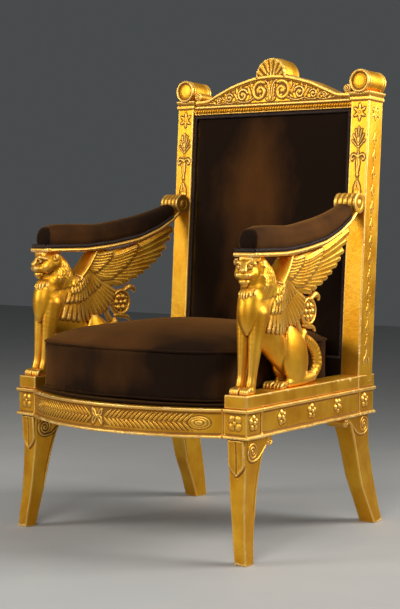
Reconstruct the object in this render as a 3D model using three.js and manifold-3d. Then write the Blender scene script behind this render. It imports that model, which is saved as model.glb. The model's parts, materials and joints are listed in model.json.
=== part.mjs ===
// A gilded throne armchair: sabre legs, bowed front rail with a laurel frieze, winged lions
// under scrolled arms, tall back posts with turned rolls, and a pedimented crest with a shell.
// Millimetres, +Z up. The chair faces -Y, +X is its right as seen from the front.

import * as THREE from 'three';
import { mergeVertices } from 'three/addons/utils/BufferGeometryUtils.js';
import Module from 'manifold-3d';

const wasm = await Module();
wasm.setup();

// ---- Driving dimensions ----

const GAP = 0.4; // clearance between pieces that touch

// Seat frame, front to back
const SIDE_X = 327; // centre of the side frame at the front, from the middle of the chair
const SIDE_ANGLE = THREE.MathUtils.degToRad(5.05); // the sides close towards the back
const RAIL_LOW = 277;
const RAIL_TOP = 343.5;
const RAIL_FACE = 27; // rail face, from the side frame's centre plane
const MOULDING = 9; // height of the mouldings along both edges of the rails
const MOULDING_PROUD = 6;
const BLOCK = 66; // front corner block, across and deep
const BACK_BLOCK = [511, 591]; // the back corner block, along the side frame
const BOW = 90; // how far the front rail bows forward of its chord
const BOW_HALF = SIDE_X - BLOCK / 2; // half of the chord
const PLINTH_TOP = 374;

// Back, which leans as one plane
const BACK_Y = 516; // front face of the posts, where they leave the plinth
const LEAN = THREE.MathUtils.degToRad(3.5);
const POST_INNER = 251.4;
const POST_OUTER = 304.8;
const POST_DEPTH = 61;
const POST_HEIGHT = 676; // from the plinth's top to the cap
const CAP_HEIGHT = 20;
const ROLL_RADIUS = 29;
const ROLL_LENGTH = 77;

// Arms
const ARM_CENTRE = -4; // off the side frame's centre plane
const ARM_HALF = 29;
const BOARD = 10;

// Cushion
const CUSHION_LOW = 351;
const CUSHION_SEAM = 464;
const CUSHION_CROWN = 56;

// ---- Materials ----

const gilding = { color: 0xd79b22, roughness: 0.38, metalness: 0.85 };
const velvet = { color: 0x3c2013, roughness: 0.9, metalness: 0 };
const braid = { color: 0x2a2228, roughness: 0.85, metalness: 0 };

// ---- Solids ----

function toSolid(geometry) {
  const bare = geometry.clone();
  bare.deleteAttribute('normal');
  bare.deleteAttribute('uv');
  const merged = mergeVertices(bare, 1e-3);
  return new wasm.Manifold(new wasm.Mesh({
    numProp: 3,
    vertProperties: new Float32Array(merged.attributes.position.array),
    triVerts: new Uint32Array(merged.index.array),
  }));
}

function toGeometry(solid) {
  const mesh = solid.getMesh();
  const geometry = new THREE.BufferGeometry();
  geometry.setAttribute('position', new THREE.BufferAttribute(mesh.vertProperties, 3));
  geometry.setIndex(new THREE.BufferAttribute(mesh.triVerts, 1));
  geometry.computeVertexNormals();
  return geometry;
}

function joined(geometries) {
  return toGeometry(geometries.map(toSolid).reduce((whole, piece) => whole.add(piece)));
}

function cut(geometry, ...cutters) {
  const kept = cutters.map(toSolid).reduce((whole, cutter) => whole.subtract(cutter), toSolid(geometry));
  return toGeometry(kept);
}

function common(a, b) {
  return toGeometry(toSolid(a).intersect(toSolid(b)));
}

function mirrored(geometry) {
  const copy = geometry.clone().scale(-1, 1, 1);
  const index = copy.index.array.slice();
  for (let i = 0; i < index.length; i += 3) [index[i + 1], index[i + 2]] = [index[i + 2], index[i + 1]];
  copy.setIndex(new THREE.BufferAttribute(index, 1));
  copy.computeVertexNormals();
  return copy;
}

// ---- Planes that shapes are drawn in ----

const X = new THREE.Vector3(1, 0, 0);
const Y = new THREE.Vector3(0, 1, 0);
const Z = new THREE.Vector3(0, 0, 1);

function outline(points) {
  return new THREE.Shape(points.map(([a, b]) => new THREE.Vector2(a, b)));
}

// A shape drawn as (along Y, up Z), from x = low to x = high
function sideSlab(shape, low, high) {
  const slab = new THREE.ExtrudeGeometry(shape, { depth: high - low, bevelEnabled: false });
  slab.applyMatrix4(new THREE.Matrix4().makeBasis(Y, Z, X));
  return slab.translate(low, 0, 0);
}

// A shape drawn as (along X, up Z), from y = back to y = front, with front the smaller
function frontSlab(shape, front, back) {
  const slab = new THREE.ExtrudeGeometry(shape, { depth: back - front, bevelEnabled: false });
  slab.applyMatrix4(new THREE.Matrix4().makeBasis(X, Z, Y.clone().negate()));
  return slab.translate(0, back, 0);
}

// A shape drawn as (along X, along Y), from z = low to z = high
function planSlab(shape, low, high) {
  const slab = new THREE.ExtrudeGeometry(shape, { depth: high - low, bevelEnabled: false });
  return slab.translate(0, 0, low);
}

function box(x, y, z) {
  const size = [x, y, z].map(([low, high]) => high - low);
  const middle = [x, y, z].map(([low, high]) => (low + high) / 2);
  return new THREE.BoxGeometry(...size).translate(...middle);
}

// From the side frame (x across, y along, z up) into the chair's frame, for the right-hand side
function fromSide(geometry) {
  return geometry.rotateZ(SIDE_ANGLE).translate(SIDE_X, 0, 0);
}

// From the leaning back plane (x, depth, height above the plinth) into the chair's frame
function fromBack(geometry) {
  return geometry.rotateX(-LEAN).translate(0, BACK_Y, PLINTH_TOP);
}

// ---- Rounded members and small ornament ----

// A capped member along a smooth curve, with half-widths [across X, in the curve's plane]
// given at each point of it; square > 0 fills out the corners of the section.
function limb(points, halves, { sides = 8, rings = 2 * (points.length - 1), square = 0 } = {}) {
  const spine = new THREE.CatmullRomCurve3(points.map((p) => new THREE.Vector3(...p)));
  const girth = new THREE.CatmullRomCurve3(halves.map(([a, b]) => new THREE.Vector3(a, b, 0)));
  const geometry = new THREE.CylinderGeometry(1, 1, 1, sides, rings);
  const position = geometry.attributes.position;
  for (let i = 0; i < position.count; i += 1) {
    const t = THREE.MathUtils.clamp(position.getY(i) + 0.5, 0, 1);
    const tangent = spine.getTangent(t);
    const inPlane = new THREE.Vector3().crossVectors(X, tangent).normalize();
    const across = new THREE.Vector3().crossVectors(tangent, inPlane);
    const half = girth.getPoint(t);
    const filled = (c) => Math.sign(c) * Math.abs(c) ** (1 - square);
    const [a, b] = [filled(position.getX(i)), filled(position.getZ(i))];
    const point = spine.getPoint(t).addScaledVector(across, a * half.x).addScaledVector(inPlane, b * half.y);
    position.setXYZ(i, point.x, point.y, point.z);
  }
  return geometry;
}

function ball(centre, halves, sides, rings) {
  const sphere = new THREE.SphereGeometry(1, sides, rings).rotateX(Math.PI / 2);
  return sphere.scale(...halves).translate(...centre);
}

// A small boss, as a stretched icosahedron
function bead(centre, halves) {
  return new THREE.IcosahedronGeometry(1, 0).scale(...halves).translate(...centre);
}

// A leaf with a ridge, lying on a plane: four-sided cone, base down, pressed thin
function leafRelief(length, width, height) {
  return new THREE.ConeGeometry(1, 1, 4).translate(0, 0.5, 0).scale(length / 2, height, width / 2);
}

// A flower of pointed petals on a front face (facing -Y), centred on the origin: a star-shaped cone
function flower(radius, petals, height) {
  const cone = new THREE.ConeGeometry(radius, height, 2 * petals).rotateX(Math.PI).rotateY(Math.PI / 2);
  const position = cone.attributes.position;
  for (let i = 0; i < position.count; i += 1) {
    const [x, z] = [position.getX(i), position.getZ(i)];
    const spoke = Math.round((Math.atan2(z, x) * petals) / Math.PI);
    const reach = spoke % 2 ? 0.5 : 1;
    position.setXYZ(i, x * reach, position.getY(i) - height / 2 + 0.5, z * reach);
  }
  return cone;
}

// A ridged band along a path that lies on a face, half sunk in it
function ridge(path, width, height, steps, facing) {
  const section = facing === 'side' ? [[-height, -width / 2], [height, 0], [-height, width / 2]]
    : [[-width / 2, height], [0, -height], [width / 2, height]];
  return new THREE.ExtrudeGeometry(outline(section), { steps, bevelEnabled: false, extrudePath: path });
}

// The points of a spiral round an eye, from its inner end out to the radius at angle `last`
function spiral(eye, radius, turns, last, way, count) {
  return Array.from({ length: count + 1 }, (_, i) => {
    const t = i / count;
    const angle = last - way * 2 * Math.PI * turns * (1 - t);
    const reach = radius * (0.25 + 0.75 * t);
    return [eye[0] + reach * Math.cos(angle), eye[1] + reach * Math.sin(angle)];
  });
}

// ---- Front and back legs, with their corner blocks ----

const FRONT_LEG = {
  edges: [[10, RAIL_LOW - GAP], [13, 212], [10, 146], [6.6, 81], [2, 38], [0, 0],
    [33, 0], [41, 50], [50, 96], [57, 140], [66, 183], [79, 226], [95, 257], [112, RAIL_LOW - GAP]],
  footInner: 27, // how far the foot draws in on the inner side
  footOuter: 8, // and kicks out on the outer side
  neck: [16, 60], // where the leg runs up into its block
};
const BACK_LEG = {
  edges: [[575, RAIL_LOW - GAP], [580, 208], [595, 144], [611, 79], [628, 0],
    [589, 0], [562, 61], [537, 114], [514, 191], [490, 246], [462, RAIL_LOW - GAP]],
  footInner: 17,
  footOuter: 12,
  neck: [517, 570],
};
const LEG_INNER = -30;
const LEG_OUTER = 23;

// The leg narrows on its inner side towards the foot and kicks out a little on its outer side
function legWarp(geometry, shape) {
  const position = geometry.attributes.position;
  for (let i = 0; i < position.count; i += 1) {
    const down = THREE.MathUtils.clamp(1 - position.getZ(i) / RAIL_LOW, 0, 1);
    const inner = position.getX(i) < (LEG_INNER + LEG_OUTER) / 2;
    const waist = 3 * Math.sin(Math.PI * down);
    const shift = inner ? shape.footInner * down ** 1.6 : shape.footOuter * down ** 3 - waist;
    position.setX(i, position.getX(i) + shift);
  }
  return geometry;
}

// A scroll in relief on the outer face: a spiral whose last turn sweeps off to a small scroll
function legScroll(eye, radius, end) {
  const way = Math.sign(end[0] - eye[0]);
  const turn = spiral(eye, radius, 1.1, -Math.PI / 2, way, 6);
  const sweep = [[eye[0] * 0.35 + end[0] * 0.65, eye[1] - radius * 0.1], [end[0], end[1] - 4]];
  const path = [...turn, ...sweep].map(([along, up]) => new THREE.Vector3(LEG_OUTER, along, up));
  return ridge(new THREE.CatmullRomCurve3(path), 7, 3, 8, 'side');
}

function leg(shape, eye, radius, end) {
  const blank = legWarp(sideSlab(outline(shape.edges), LEG_INNER, LEG_OUTER), shape);
  const small = new THREE.CylinderGeometry(12, 12, LEG_OUTER - LEG_INNER, 10).rotateZ(Math.PI / 2);
  small.translate((LEG_INNER + LEG_OUTER) / 2, end[0], RAIL_LOW - 12 - GAP);
  const [near, far] = shape.neck;
  const neck = box([LEG_INNER + 4, LEG_OUTER - 4], [near, far], [RAIL_LOW - 5, RAIL_LOW + 5]);
  return [blank, legScroll(eye, radius, end), small, neck];
}

// The square block between rail mouldings; face holds the sunk part, the mouldings run round it
function cornerBlock(low, high) {
  const face = box([-BLOCK / 2, RAIL_FACE], [low + 5, high - 5], [RAIL_LOW, RAIL_TOP]);
  const bands = [[RAIL_LOW, RAIL_LOW + MOULDING], [RAIL_TOP - MOULDING, RAIL_TOP]].map((z) =>
    box([-BLOCK / 2, RAIL_FACE + MOULDING_PROUD], [low, high], z));
  return [face, ...bands];
}

const FRIEZE_MIDDLE = (RAIL_LOW + RAIL_TOP) / 2 + 3;

function sideRosette(along) {
  return flower(18, 5, 5).rotateZ(Math.PI / 2).translate(RAIL_FACE, along, FRIEZE_MIDDLE);
}

function frontLegPiece() {
  const die = flower(19, 4, 5).translate(-3, 5, FRIEZE_MIDDLE);
  const tongue = outline([[-24, 272], [-24, 222], [-16, 208], [5, 194], [14, 208], [18, 222], [18, 272]]);
  return joined([...leg(FRONT_LEG, [40, 248], 21, [110, 266]), ...cornerBlock(0, BLOCK),
    frontSlab(tongue, 5.5, 16), die, sideRosette(32)]);
}

// ---- Seat rails and plinths ----

const BOW_RADIUS = (BOW_HALF ** 2 + BOW ** 2) / (2 * BOW);
const BOW_FACE = 2; // y of the front rail's face at the ends of its chord
const BOW_CENTRE = BOW_FACE - BOW + BOW_RADIUS;

const BOW_STEPS = 12;
const RAIL_DEEP = 42;

// Points of the bow at one radius, from left to right
function bowArc(radius) {
  return Array.from({ length: BOW_STEPS + 1 }, (_, i) => {
    const x = (BOW_HALF + 2) * (2 * i / BOW_STEPS - 1);
    return [x, BOW_CENTRE - Math.sqrt(radius ** 2 - x ** 2)];
  });
}

// Plan of a band that follows the bow, from `proud` in front of the face to `deep` behind it
function bowedBand(proud, deep) {
  return outline([...bowArc(BOW_RADIUS + proud), ...bowArc(BOW_RADIUS - deep).reverse()]);
}

// Puts relief made on a face at the origin (facing -Y) onto the bowed face, `along` it from the middle
function onBow(geometry, along, height) {
  const angle = along / BOW_RADIUS;
  const [x, y] = [BOW_RADIUS * Math.sin(angle), BOW_CENTRE - BOW_RADIUS * Math.cos(angle)];
  return geometry.rotateZ(angle).translate(x, y, height);
}

function laurelBranch(side) {
  const leaves = [];
  const [pitch, count, slant] = [30, 7, THREE.MathUtils.degToRad(38)];
  for (let i = 0; i < count; i += 1) {
    for (const row of [1, -1]) {
      const leafOf = leafRelief(35, 16, 4).rotateX(Math.PI).rotateY(-row * side * slant).translate(0, 1, 0);
      leaves.push(onBow(leafOf, side * (30 + pitch * i), FRIEZE_MIDDLE - 3 + row * 10));
    }
  }
  const bud = leafRelief(44, 28, 4).rotateX(Math.PI).translate(0, 1, 0);
  return [...leaves, onBow(bud, side * (30 + pitch * count + 20), FRIEZE_MIDDLE - 3)];
}

// Room for the corner blocks, which stand askew with the side frames
function blockRoom() {
  return fromSide(box([-BLOCK / 2 - GAP, BLOCK], [-BLOCK, 2 * BLOCK], [RAIL_LOW - BLOCK, PLINTH_TOP]));
}

function frontRailPiece() {
  const face = planSlab(bowedBand(0, RAIL_DEEP), RAIL_LOW + 1, RAIL_TOP - 1);
  const bands = [[RAIL_LOW, RAIL_LOW + MOULDING], [RAIL_TOP - MOULDING, RAIL_TOP]].map((z) =>
    planSlab(bowedBand(MOULDING_PROUD, RAIL_DEEP / 2), ...z));
  const knot = onBow(flower(15, 6, 6).translate(0, 1, 0), 0, FRIEZE_MIDDLE - 3);
  const whole = joined([face, ...bands, knot, ...laurelBranch(1), ...laurelBranch(-1)]);
  return cut(whole, blockRoom(), mirrored(blockRoom()));
}

function sideRailPiece() {
  const [low, high] = [BLOCK + GAP, BACK_BLOCK[0] - GAP];
  const proud = RAIL_FACE + MOULDING_PROUD;
  const section = outline([[-RAIL_FACE, RAIL_LOW], [proud, RAIL_LOW], [proud, RAIL_LOW + MOULDING - 2],
    [RAIL_FACE, RAIL_LOW + MOULDING + 1], [RAIL_FACE, RAIL_TOP - MOULDING - 1],
    [proud, RAIL_TOP - MOULDING + 2], [proud, RAIL_TOP], [-RAIL_FACE, RAIL_TOP]]);
  return joined([frontSlab(section, low, high), ...[151, 284, 406].map(sideRosette)]);
}

function sidePlinthPiece() {
  return box([-BLOCK / 2, RAIL_FACE], [6, BACK_BLOCK[0] - GAP], [RAIL_TOP + GAP, PLINTH_TOP]);
}

function backCrossRailPiece() {
  const half = POST_INNER - GAP;
  return box([-half, half], [12, POST_DEPTH - 6], [4, PAD_LOW - GAP]);
}

// ---- Back stiles: leg, corner block, post and cap ----

const CAP = 5; // how far the cap stands out from the post
const ROLL_HEIGHT = POST_HEIGHT + CAP_HEIGHT + ROLL_RADIUS - 4;
const POST_MIDDLE = (POST_INNER + POST_OUTER) / 2;

function rollBlank(radius, length) {
  const round = new THREE.CylinderGeometry(radius, radius, length, 12);
  return round.translate(0, POST_DEPTH / 2, 0).translate(POST_MIDDLE, 0, ROLL_HEIGHT);
}

// Relief on the post's front face, drawn on a plane facing -Y and lifted into place
function postFrontRelief() {
  const at = (geometry, x, height) => geometry.translate(POST_MIDDLE + x, 1, height);
  const upright = (length, width, height, tilt) =>
    leafRelief(length, width, height).rotateX(Math.PI).rotateY(Math.PI / 2 + THREE.MathUtils.degToRad(tilt));
  const fronds = [[0, 588, 0], [-10, 573, -32], [10, 573, 32]];
  return [
    at(flower(18, 5, 5), 0, 645),
    ...fronds.map(([x, height, tilt]) => at(upright(30, 9, 4, tilt), x, height)),
    at(upright(58, 13, 5, 0), 0, 521),
    ...[-13, 13].map((x) => at(bead([0, 0, 0], [7, 4, 7]), x, 538)),
    at(ball([0, 0, 0], [16, 9, 26], 6, 4), 0, 462),
  ];
}

function postSideRelief() {
  const at = (geometry, height) => geometry.translate(POST_OUTER - 1, POST_DEPTH / 2, height);
  const upright = (length, width) =>
    leafRelief(length, width, 3).rotateX(Math.PI).rotateY(Math.PI / 2).rotateZ(Math.PI / 2);
  const husks = [[70, 22, 560], [60, 16, 460], [70, 22, 340]];
  return [at(flower(15, 5, 5).rotateZ(Math.PI / 2), 645),
    ...husks.map(([length, width, height]) => at(upright(length, width), height))];
}

function backStilePiece() {
  const post = box([POST_INNER, POST_OUTER], [0, POST_DEPTH], [-14, POST_HEIGHT]);
  const capBand = (proud, low, high) =>
    box([POST_INNER - proud, POST_OUTER + proud], [-proud, POST_DEPTH + proud], [low, high]);
  const cap = cut(capBand(CAP, POST_HEIGHT + 7, POST_HEIGHT + CAP_HEIGHT),
    rollBlank(ROLL_RADIUS + GAP, 2 * ROLL_LENGTH));
  const astragal = capBand(3, POST_HEIGHT - 1, POST_HEIGHT + 8);
  const upper = [post, astragal, cap, ...postFrontRelief(), ...postSideRelief()];
  const base = box([-BLOCK / 2, RAIL_FACE], BACK_BLOCK, [RAIL_TOP - 2, PLINTH_TOP]);
  const lower = [...leg(BACK_LEG, [548, 252], 23, [462, 266]), ...cornerBlock(...BACK_BLOCK), base,
    sideRosette(540)];
  return joined([...upper.map(fromBack), ...lower.map(fromSide)]);
}

function postRollPiece() {
  const profile = [[0, -2], [ROLL_RADIUS - 7, -2], [ROLL_RADIUS - 5, 2], [ROLL_RADIUS, 0]];
  const half = ROLL_LENGTH / 2;
  const front = profile.map(([r, out]) => new THREE.Vector2(r, -half - out));
  const back = profile.toReversed().map(([r, out]) => new THREE.Vector2(r, half + out));
  const turned = new THREE.LatheGeometry([...front, ...back], 12);
  return turned.translate(POST_MIDDLE, POST_DEPTH / 2, ROLL_HEIGHT);
}

// ---- Crest rail, drawn on the back plane ----

const CREST_LOW = 657; // heights in this section are above the plinths' top
const CREST_HALF = POST_INNER - GAP;
const CREST_FRONT = 2;
const CREST_BACK = 50;
const SHELL_RADIUS = 47;
const SHELL_HEIGHT = 748;
// Right half of the crest's top edge, from its end to the middle
const PEDIMENT = [[250, 694], [231, 695], [207, 697], [186, 705], [155, 718], [125, 730], [85, 741],
  [47, 749], [0, 752]];

function pedimentEdge(lower) {
  const right = PEDIMENT.map(([x, height]) => [Math.min(x, CREST_HALF), height - lower]);
  return [...right, ...right.slice(0, -1).reverse().map(([x, height]) => [-x, height])];
}

function crestScroll(x, height, radius, turns, count) {
  const way = -Math.sign(x);
  const path = spiral([x, height], radius, turns, Math.PI / 2, way, count);
  const curve = new THREE.CatmullRomCurve3(path.map(([a, b]) => new THREE.Vector3(a, CREST_FRONT, b)));
  return ridge(curve, 7, 4, count + 1, 'front');
}

function shellPiece() {
  const lobes = 8;
  const edge = Array.from({ length: 2 * lobes + 1 }, (_, i) => {
    const angle = (Math.PI * i) / (2 * lobes);
    const reach = SHELL_RADIUS - (i % 2 ? 0 : 4);
    return [reach * Math.cos(angle), SHELL_HEIGHT + reach * Math.sin(angle)];
  });
  const foot = [[-SHELL_RADIUS + 4, SHELL_HEIGHT - 16], [SHELL_RADIUS - 4, SHELL_HEIGHT - 16]];
  const body = frontSlab(outline([...edge, ...foot]), CREST_FRONT - 3, 64);
  const ribs = Array.from({ length: 5 }, (_, i) => {
    const angle = (Math.PI * (i + 0.5)) / 5;
    const rib = leafRelief(40, 14, 5).rotateX(Math.PI).translate(22, 0, 0).rotateY(-angle);
    return rib.translate(0, CREST_FRONT - 2, SHELL_HEIGHT - 4);
  });
  return [body, ...ribs];
}

function crestPiece() {
  const field = outline([[-CREST_HALF, CREST_LOW], [CREST_HALF, CREST_LOW], ...pedimentEdge(0)]);
  const edge = outline([...pedimentEdge(0), ...pedimentEdge(9).reverse()]);
  const strands = 14;
  const rope = Array.from({ length: strands }, (_, i) => {
    const strand = leafRelief(33, 9, 5).rotateX(Math.PI).rotateY(0.22);
    return strand.translate((i - (strands - 1) / 2) * 35, CREST_FRONT + 1, CREST_LOW + 10);
  });
  const deep = [CREST_FRONT - 4, CREST_BACK];
  const fillet = box([-CREST_HALF, CREST_HALF], deep, [CREST_LOW + 15, CREST_LOW + 23]);
  const ends = [-238, 238].map((x) =>
    new THREE.CylinderGeometry(11, 11, CREST_BACK - CREST_FRONT + 4, 10)
      .translate(x, (CREST_FRONT + CREST_BACK) / 2 - 2, 705));
  const scrolls = [-1, 1].flatMap((side) => [crestScroll(side * 31, 717, 19, 1.3, 8),
    crestScroll(side * 82, 708, 14, 1.1, 6), crestScroll(side * 128, 699, 11, 1, 5)]);
  const calyx = leafRelief(44, 16, 7).rotateX(Math.PI).rotateY(Math.PI / 2);
  calyx.translate(0, CREST_FRONT + 1, 716);
  const whole = joined([frontSlab(field, CREST_FRONT, CREST_BACK), frontSlab(edge, ...deep), fillet,
    ...rope, ...ends, ...scrolls, calyx, ...shellPiece()]);
  const reach = [-BLOCK, 2 * BLOCK];
  const beside = [CREST_HALF - CAP, CREST_HALF + BLOCK];
  const capRoom = box(beside, reach, [POST_HEIGHT - 2, POST_HEIGHT + CAP_HEIGHT + 1]);
  const postRoom = box([CREST_HALF, CREST_HALF + BLOCK], reach, [0, POST_HEIGHT]);
  const rightRoom = joined([capRoom, postRoom, rollBlank(ROLL_RADIUS + 2, 2 * ROLL_LENGTH)]);
  return cut(whole, rightRoom, mirrored(rightRoom));
}

// ---- Upholstered back ----

const PAD_LOW = 36;
const PAD_FACE = 8; // depth of the pad's border behind the posts' front faces
const PAD_BACK = 47;
const BACK_CROWN = 11;

function backPadPiece() {
  const [wide, tall] = [2 * CREST_HALF, CREST_LOW - GAP - PAD_LOW];
  const pad = new THREE.BoxGeometry(wide, PAD_BACK - PAD_FACE, tall, 6, 1, 6);
  pad.translate(0, (PAD_FACE + PAD_BACK) / 2, PAD_LOW + tall / 2);
  const position = pad.attributes.position;
  for (let i = 0; i < position.count; i += 1) {
    const across = position.getX(i) / CREST_HALF;
    const up = 2 * (position.getZ(i) - PAD_LOW) / tall - 1;
    if (position.getY(i) < PAD_FACE + 1) {
      position.setY(i, PAD_FACE - BACK_CROWN * (1 - across ** 2) * (1 - up ** 4));
    }
  }
  return pad;
}

function backGimpPiece() {
  const [half, low, high, band] = [CREST_HALF - 1, PAD_LOW + 1, CREST_LOW - 2, 9];
  const ring = outline([[-half, low], [half, low], [half, high], [-half, high]]);
  ring.holes.push(outline([[-half + band, low + band], [half - band, low + band], [half - band, high - band],
    [-half + band, high - band]]));
  return frontSlab(ring, PAD_FACE - 5, PAD_FACE - 2);
}

function outsideBackPiece() {
  return box([-CREST_HALF, CREST_HALF], [PAD_BACK + GAP, POST_DEPTH - 6], [PAD_LOW, CREST_LOW - GAP]);
}

// ---- Seat ----

// Room outside the inner face of the right side frame
function sideRoom() {
  const [low, high] = [RAIL_LOW - BLOCK, PLINTH_TOP + BLOCK];
  return fromSide(box([-BLOCK / 2 - GAP, 3 * BLOCK], [-2 * BLOCK, 12 * BLOCK], [low, high]));
}

function betweenSides(geometry) {
  return cut(geometry, sideRoom(), mirrored(sideRoom()));
}

const DECK_TOP = 350;

// Plan of a slab that fills the seat frame, from the bow at `radius` back to y = back
function seatPlan(radius, back) {
  return outline([...bowArc(radius), [BOW_HALF, back], [-BOW_HALF, back]]);
}

function seatDeckPiece() {
  const back = BACK_Y + 10;
  const inside = planSlab(seatPlan(BOW_RADIUS - RAIL_DEEP - GAP, back), RAIL_TOP - 40, DECK_TOP - 2);
  const lip = planSlab(seatPlan(BOW_RADIUS - 7, back), RAIL_TOP + GAP, DECK_TOP);
  return betweenSides(joined([inside, lip]));
}

function backRailPiece() {
  return betweenSides(box([-BOW_HALF, BOW_HALF], [BACK_Y + 12, BACK_Y + POST_DEPTH], [RAIL_LOW, RAIL_TOP]));
}

// Plan of the cushion: right half, from the middle of the front round to the middle of the back
const CUSHION_PLAN = [[0, -62], [110, -53], [190, -34], [243, -10], [275, 14], [284, 60], [279, 130],
  [268, 250], [257, 380], [246, 462], [200, 500], [0, 506]];
const CUSHION_MIDDLE = 220;
const CUSHION_RINGS = [[0.96, 0], [1, 0.06], [1, 0.55], [0.97, 1]]; // [girth, share of the wall's height]
const CROWN_RINGS = [[0.9, 0.42], [0.76, 0.72], [0.5, 0.92], [0.2, 1]]; // [girth, share of the crown]

function seatCushionPiece() {
  const left = CUSHION_PLAN.slice(1, -1).reverse().map(([x, y]) => [-x, y]);
  const corners = [...CUSHION_PLAN, ...left].map(([x, y]) => new THREE.Vector3(x, y, 0));
  const plan = new THREE.CatmullRomCurve3(corners, true);
  const wall = CUSHION_SEAM - CUSHION_LOW;
  const rings = [...CUSHION_RINGS.map(([girth, share]) => [girth, CUSHION_LOW + wall * share]),
    ...CROWN_RINGS.map(([girth, share]) => [girth, CUSHION_SEAM + CUSHION_CROWN * share])];
  const cushion = new THREE.CylinderGeometry(1, 1, 1, 20, rings.length - 1);
  const position = cushion.attributes.position;
  for (let i = 0; i < position.count; i += 1) {
    const [x, z] = [position.getX(i), position.getZ(i)];
    const [girth, height] = rings[Math.round((position.getY(i) + 0.5) * (rings.length - 1))];
    const edge = plan.getPoint(THREE.MathUtils.euclideanModulo(Math.atan2(x, z) / (2 * Math.PI), 1));
    const reach = Math.hypot(x, z) * girth;
    position.setXYZ(i, edge.x * reach, CUSHION_MIDDLE + (edge.y - CUSHION_MIDDLE) * reach, height);
  }
  return cushion;
}

// ---- Arms ----

// Edges of the arm board in the side frame, [along, up]
const BOARD_LOW = [[47, 675], [180, 675], [268, 683], [360, 698], [431, 722], [480, 747], [514, 774]];
const ARM_SCROLL = { along: 514, up: 795, radius: 25 };
const PAD_SPINE = [[48, 711], [58, 712], [101, 715.5], [229, 718], [318, 729.5], [388, 742.5], [460, 768],
  [496, 788]];
const PAD_HALVES = [15, 25, 29.5, 29, 29, 27.5, 20, 15];
const GIMP = 4;

function raised(edge, by) {
  return edge.map(([along, up]) => [along, up + by]);
}

function armPiece() {
  const board = sideSlab(outline([...BOARD_LOW, ...raised(BOARD_LOW, BOARD).reverse()]),
    ARM_CENTRE - ARM_HALF, ARM_CENTRE + ARM_HALF);
  const lip = new THREE.CylinderGeometry(5, 5, 2 * ARM_HALF + 3, 8).rotateZ(Math.PI / 2);
  lip.translate(ARM_CENTRE, BOARD_LOW[0][0], BOARD_LOW[0][1] + BOARD / 2);
  const reeds = 5;
  const profile = Array.from({ length: reeds }, (_, i) => {
    const radius = ARM_SCROLL.radius - (i % 2 ? 3 : 0);
    return new THREE.Vector2(radius, (ARM_HALF + 3) * (2 * i / (reeds - 1) - 1));
  });
  const ends = [new THREE.Vector2(0, profile[0].y), new THREE.Vector2(0, profile[reeds - 1].y)];
  const scroll = new THREE.LatheGeometry([ends[0], ...profile, ends[1]], 9).rotateZ(-Math.PI / 2);
  scroll.translate(ARM_CENTRE, ARM_SCROLL.along, ARM_SCROLL.up);
  const tenon = box([ARM_CENTRE - 18, ARM_CENTRE + 16], [ARM_SCROLL.along, 574], [782, 806]);
  const whole = fromSide(joined([board, lip, scroll, tenon]));
  return cut(whole, fromBack(box([0, SIDE_X], [-GAP, 2 * POST_DEPTH], [0, POST_HEIGHT])));
}

// What lies over the arm board and in front of the scroll, up to `height` above the board
function overBoard(height) {
  const low = [[20, BOARD_LOW[0][1]], ...BOARD_LOW.slice(1)];
  const edges = [...raised(low, BOARD + GAP), ...raised(low, BOARD + height).reverse()];
  const slab = sideSlab(outline(edges), ARM_CENTRE - 2 * ARM_HALF, ARM_CENTRE + 2 * ARM_HALF);
  const scroll = new THREE.CylinderGeometry(ARM_SCROLL.radius + 1.5, ARM_SCROLL.radius + 1.5, 150, 14);
  return cut(slab, scroll.rotateZ(Math.PI / 2).translate(0, ARM_SCROLL.along, ARM_SCROLL.up));
}

function armPadPiece() {
  const spine = PAD_SPINE.map(([along, up]) => [ARM_CENTRE, along, up]);
  const halves = PAD_HALVES.map((half, i) => [i ? ARM_HALF - GIMP : 17, half]);
  return common(limb(spine, halves, { sides: 8, rings: 7, square: 0.35 }), overBoard(90));
}

// A band that follows the board round the foot of the pad
function armGimpPiece() {
  const front = PAD_SPINE[0][0] - GIMP - GAP;
  const run = [[front, BOARD_LOW[0][1]], ...BOARD_LOW.slice(1, -1), [ARM_SCROLL.along - 33, 747.6]];
  const band = outline([...raised(run, BOARD + GAP), ...raised(run, BOARD + 9).reverse()]);
  const thick = GIMP - GAP;
  const lows = [ARM_CENTRE - ARM_HALF, ARM_CENTRE + ARM_HALF - thick];
  const sides = lows.map((low) => sideSlab(band, low, low + thick));
  const end = box([ARM_CENTRE - ARM_HALF, ARM_CENTRE + ARM_HALF], [front, front + GIMP],
    [BOARD_LOW[0][1] + BOARD + GAP, BOARD_LOW[0][1] + BOARD + 9]);
  return joined([...sides, end]);
}

// ---- Winged lions, in the side frame: x across, y along, z up ----

const LION = -3; // the lion's own middle plane
const UNDER_ARM = BOARD_LOW[0][1] - GAP;

function pair(make) {
  return [-1, 1].map(make);
}

function lionBody() {
  const spine = [[212, 420], [172, 470], [124, 522], [100, 560], [106, 608], [98, 642], [92, 662]];
  const halves = [[20, 22], [23, 36], [26, 50], [27, 56], [26, 50], [26, 42], [20, 30]];
  const torso = limb(spine.map(([along, up]) => [LION, along, up]), halves, { sides: 8, rings: 6 });
  const cap = box([LION - 20, LION + 20], [58, 112], [655, UNDER_ARM]);
  return [torso, cap];
}

function lionHead() {
  const head = limb([[LION, 108, 640], [LION, 72, 642], [LION, 50, 634], [LION, 34, 631]],
    [[26, 28], [26, 29], [19, 19], [12, 13]], { sides: 6, rings: 3 });
  const brow = bead([LION, 54, 655], [22, 14, 9]);
  const nose = bead([LION, 37, 643], [8, 9, 7]);
  const chin = bead([LION, 50, 613], [13, 12, 9]);
  const ears = pair((side) => bead([LION + side * 22, 96, 658], [8, 9, 11]));
  return [head, brow, nose, chin, ...ears];
}

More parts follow.
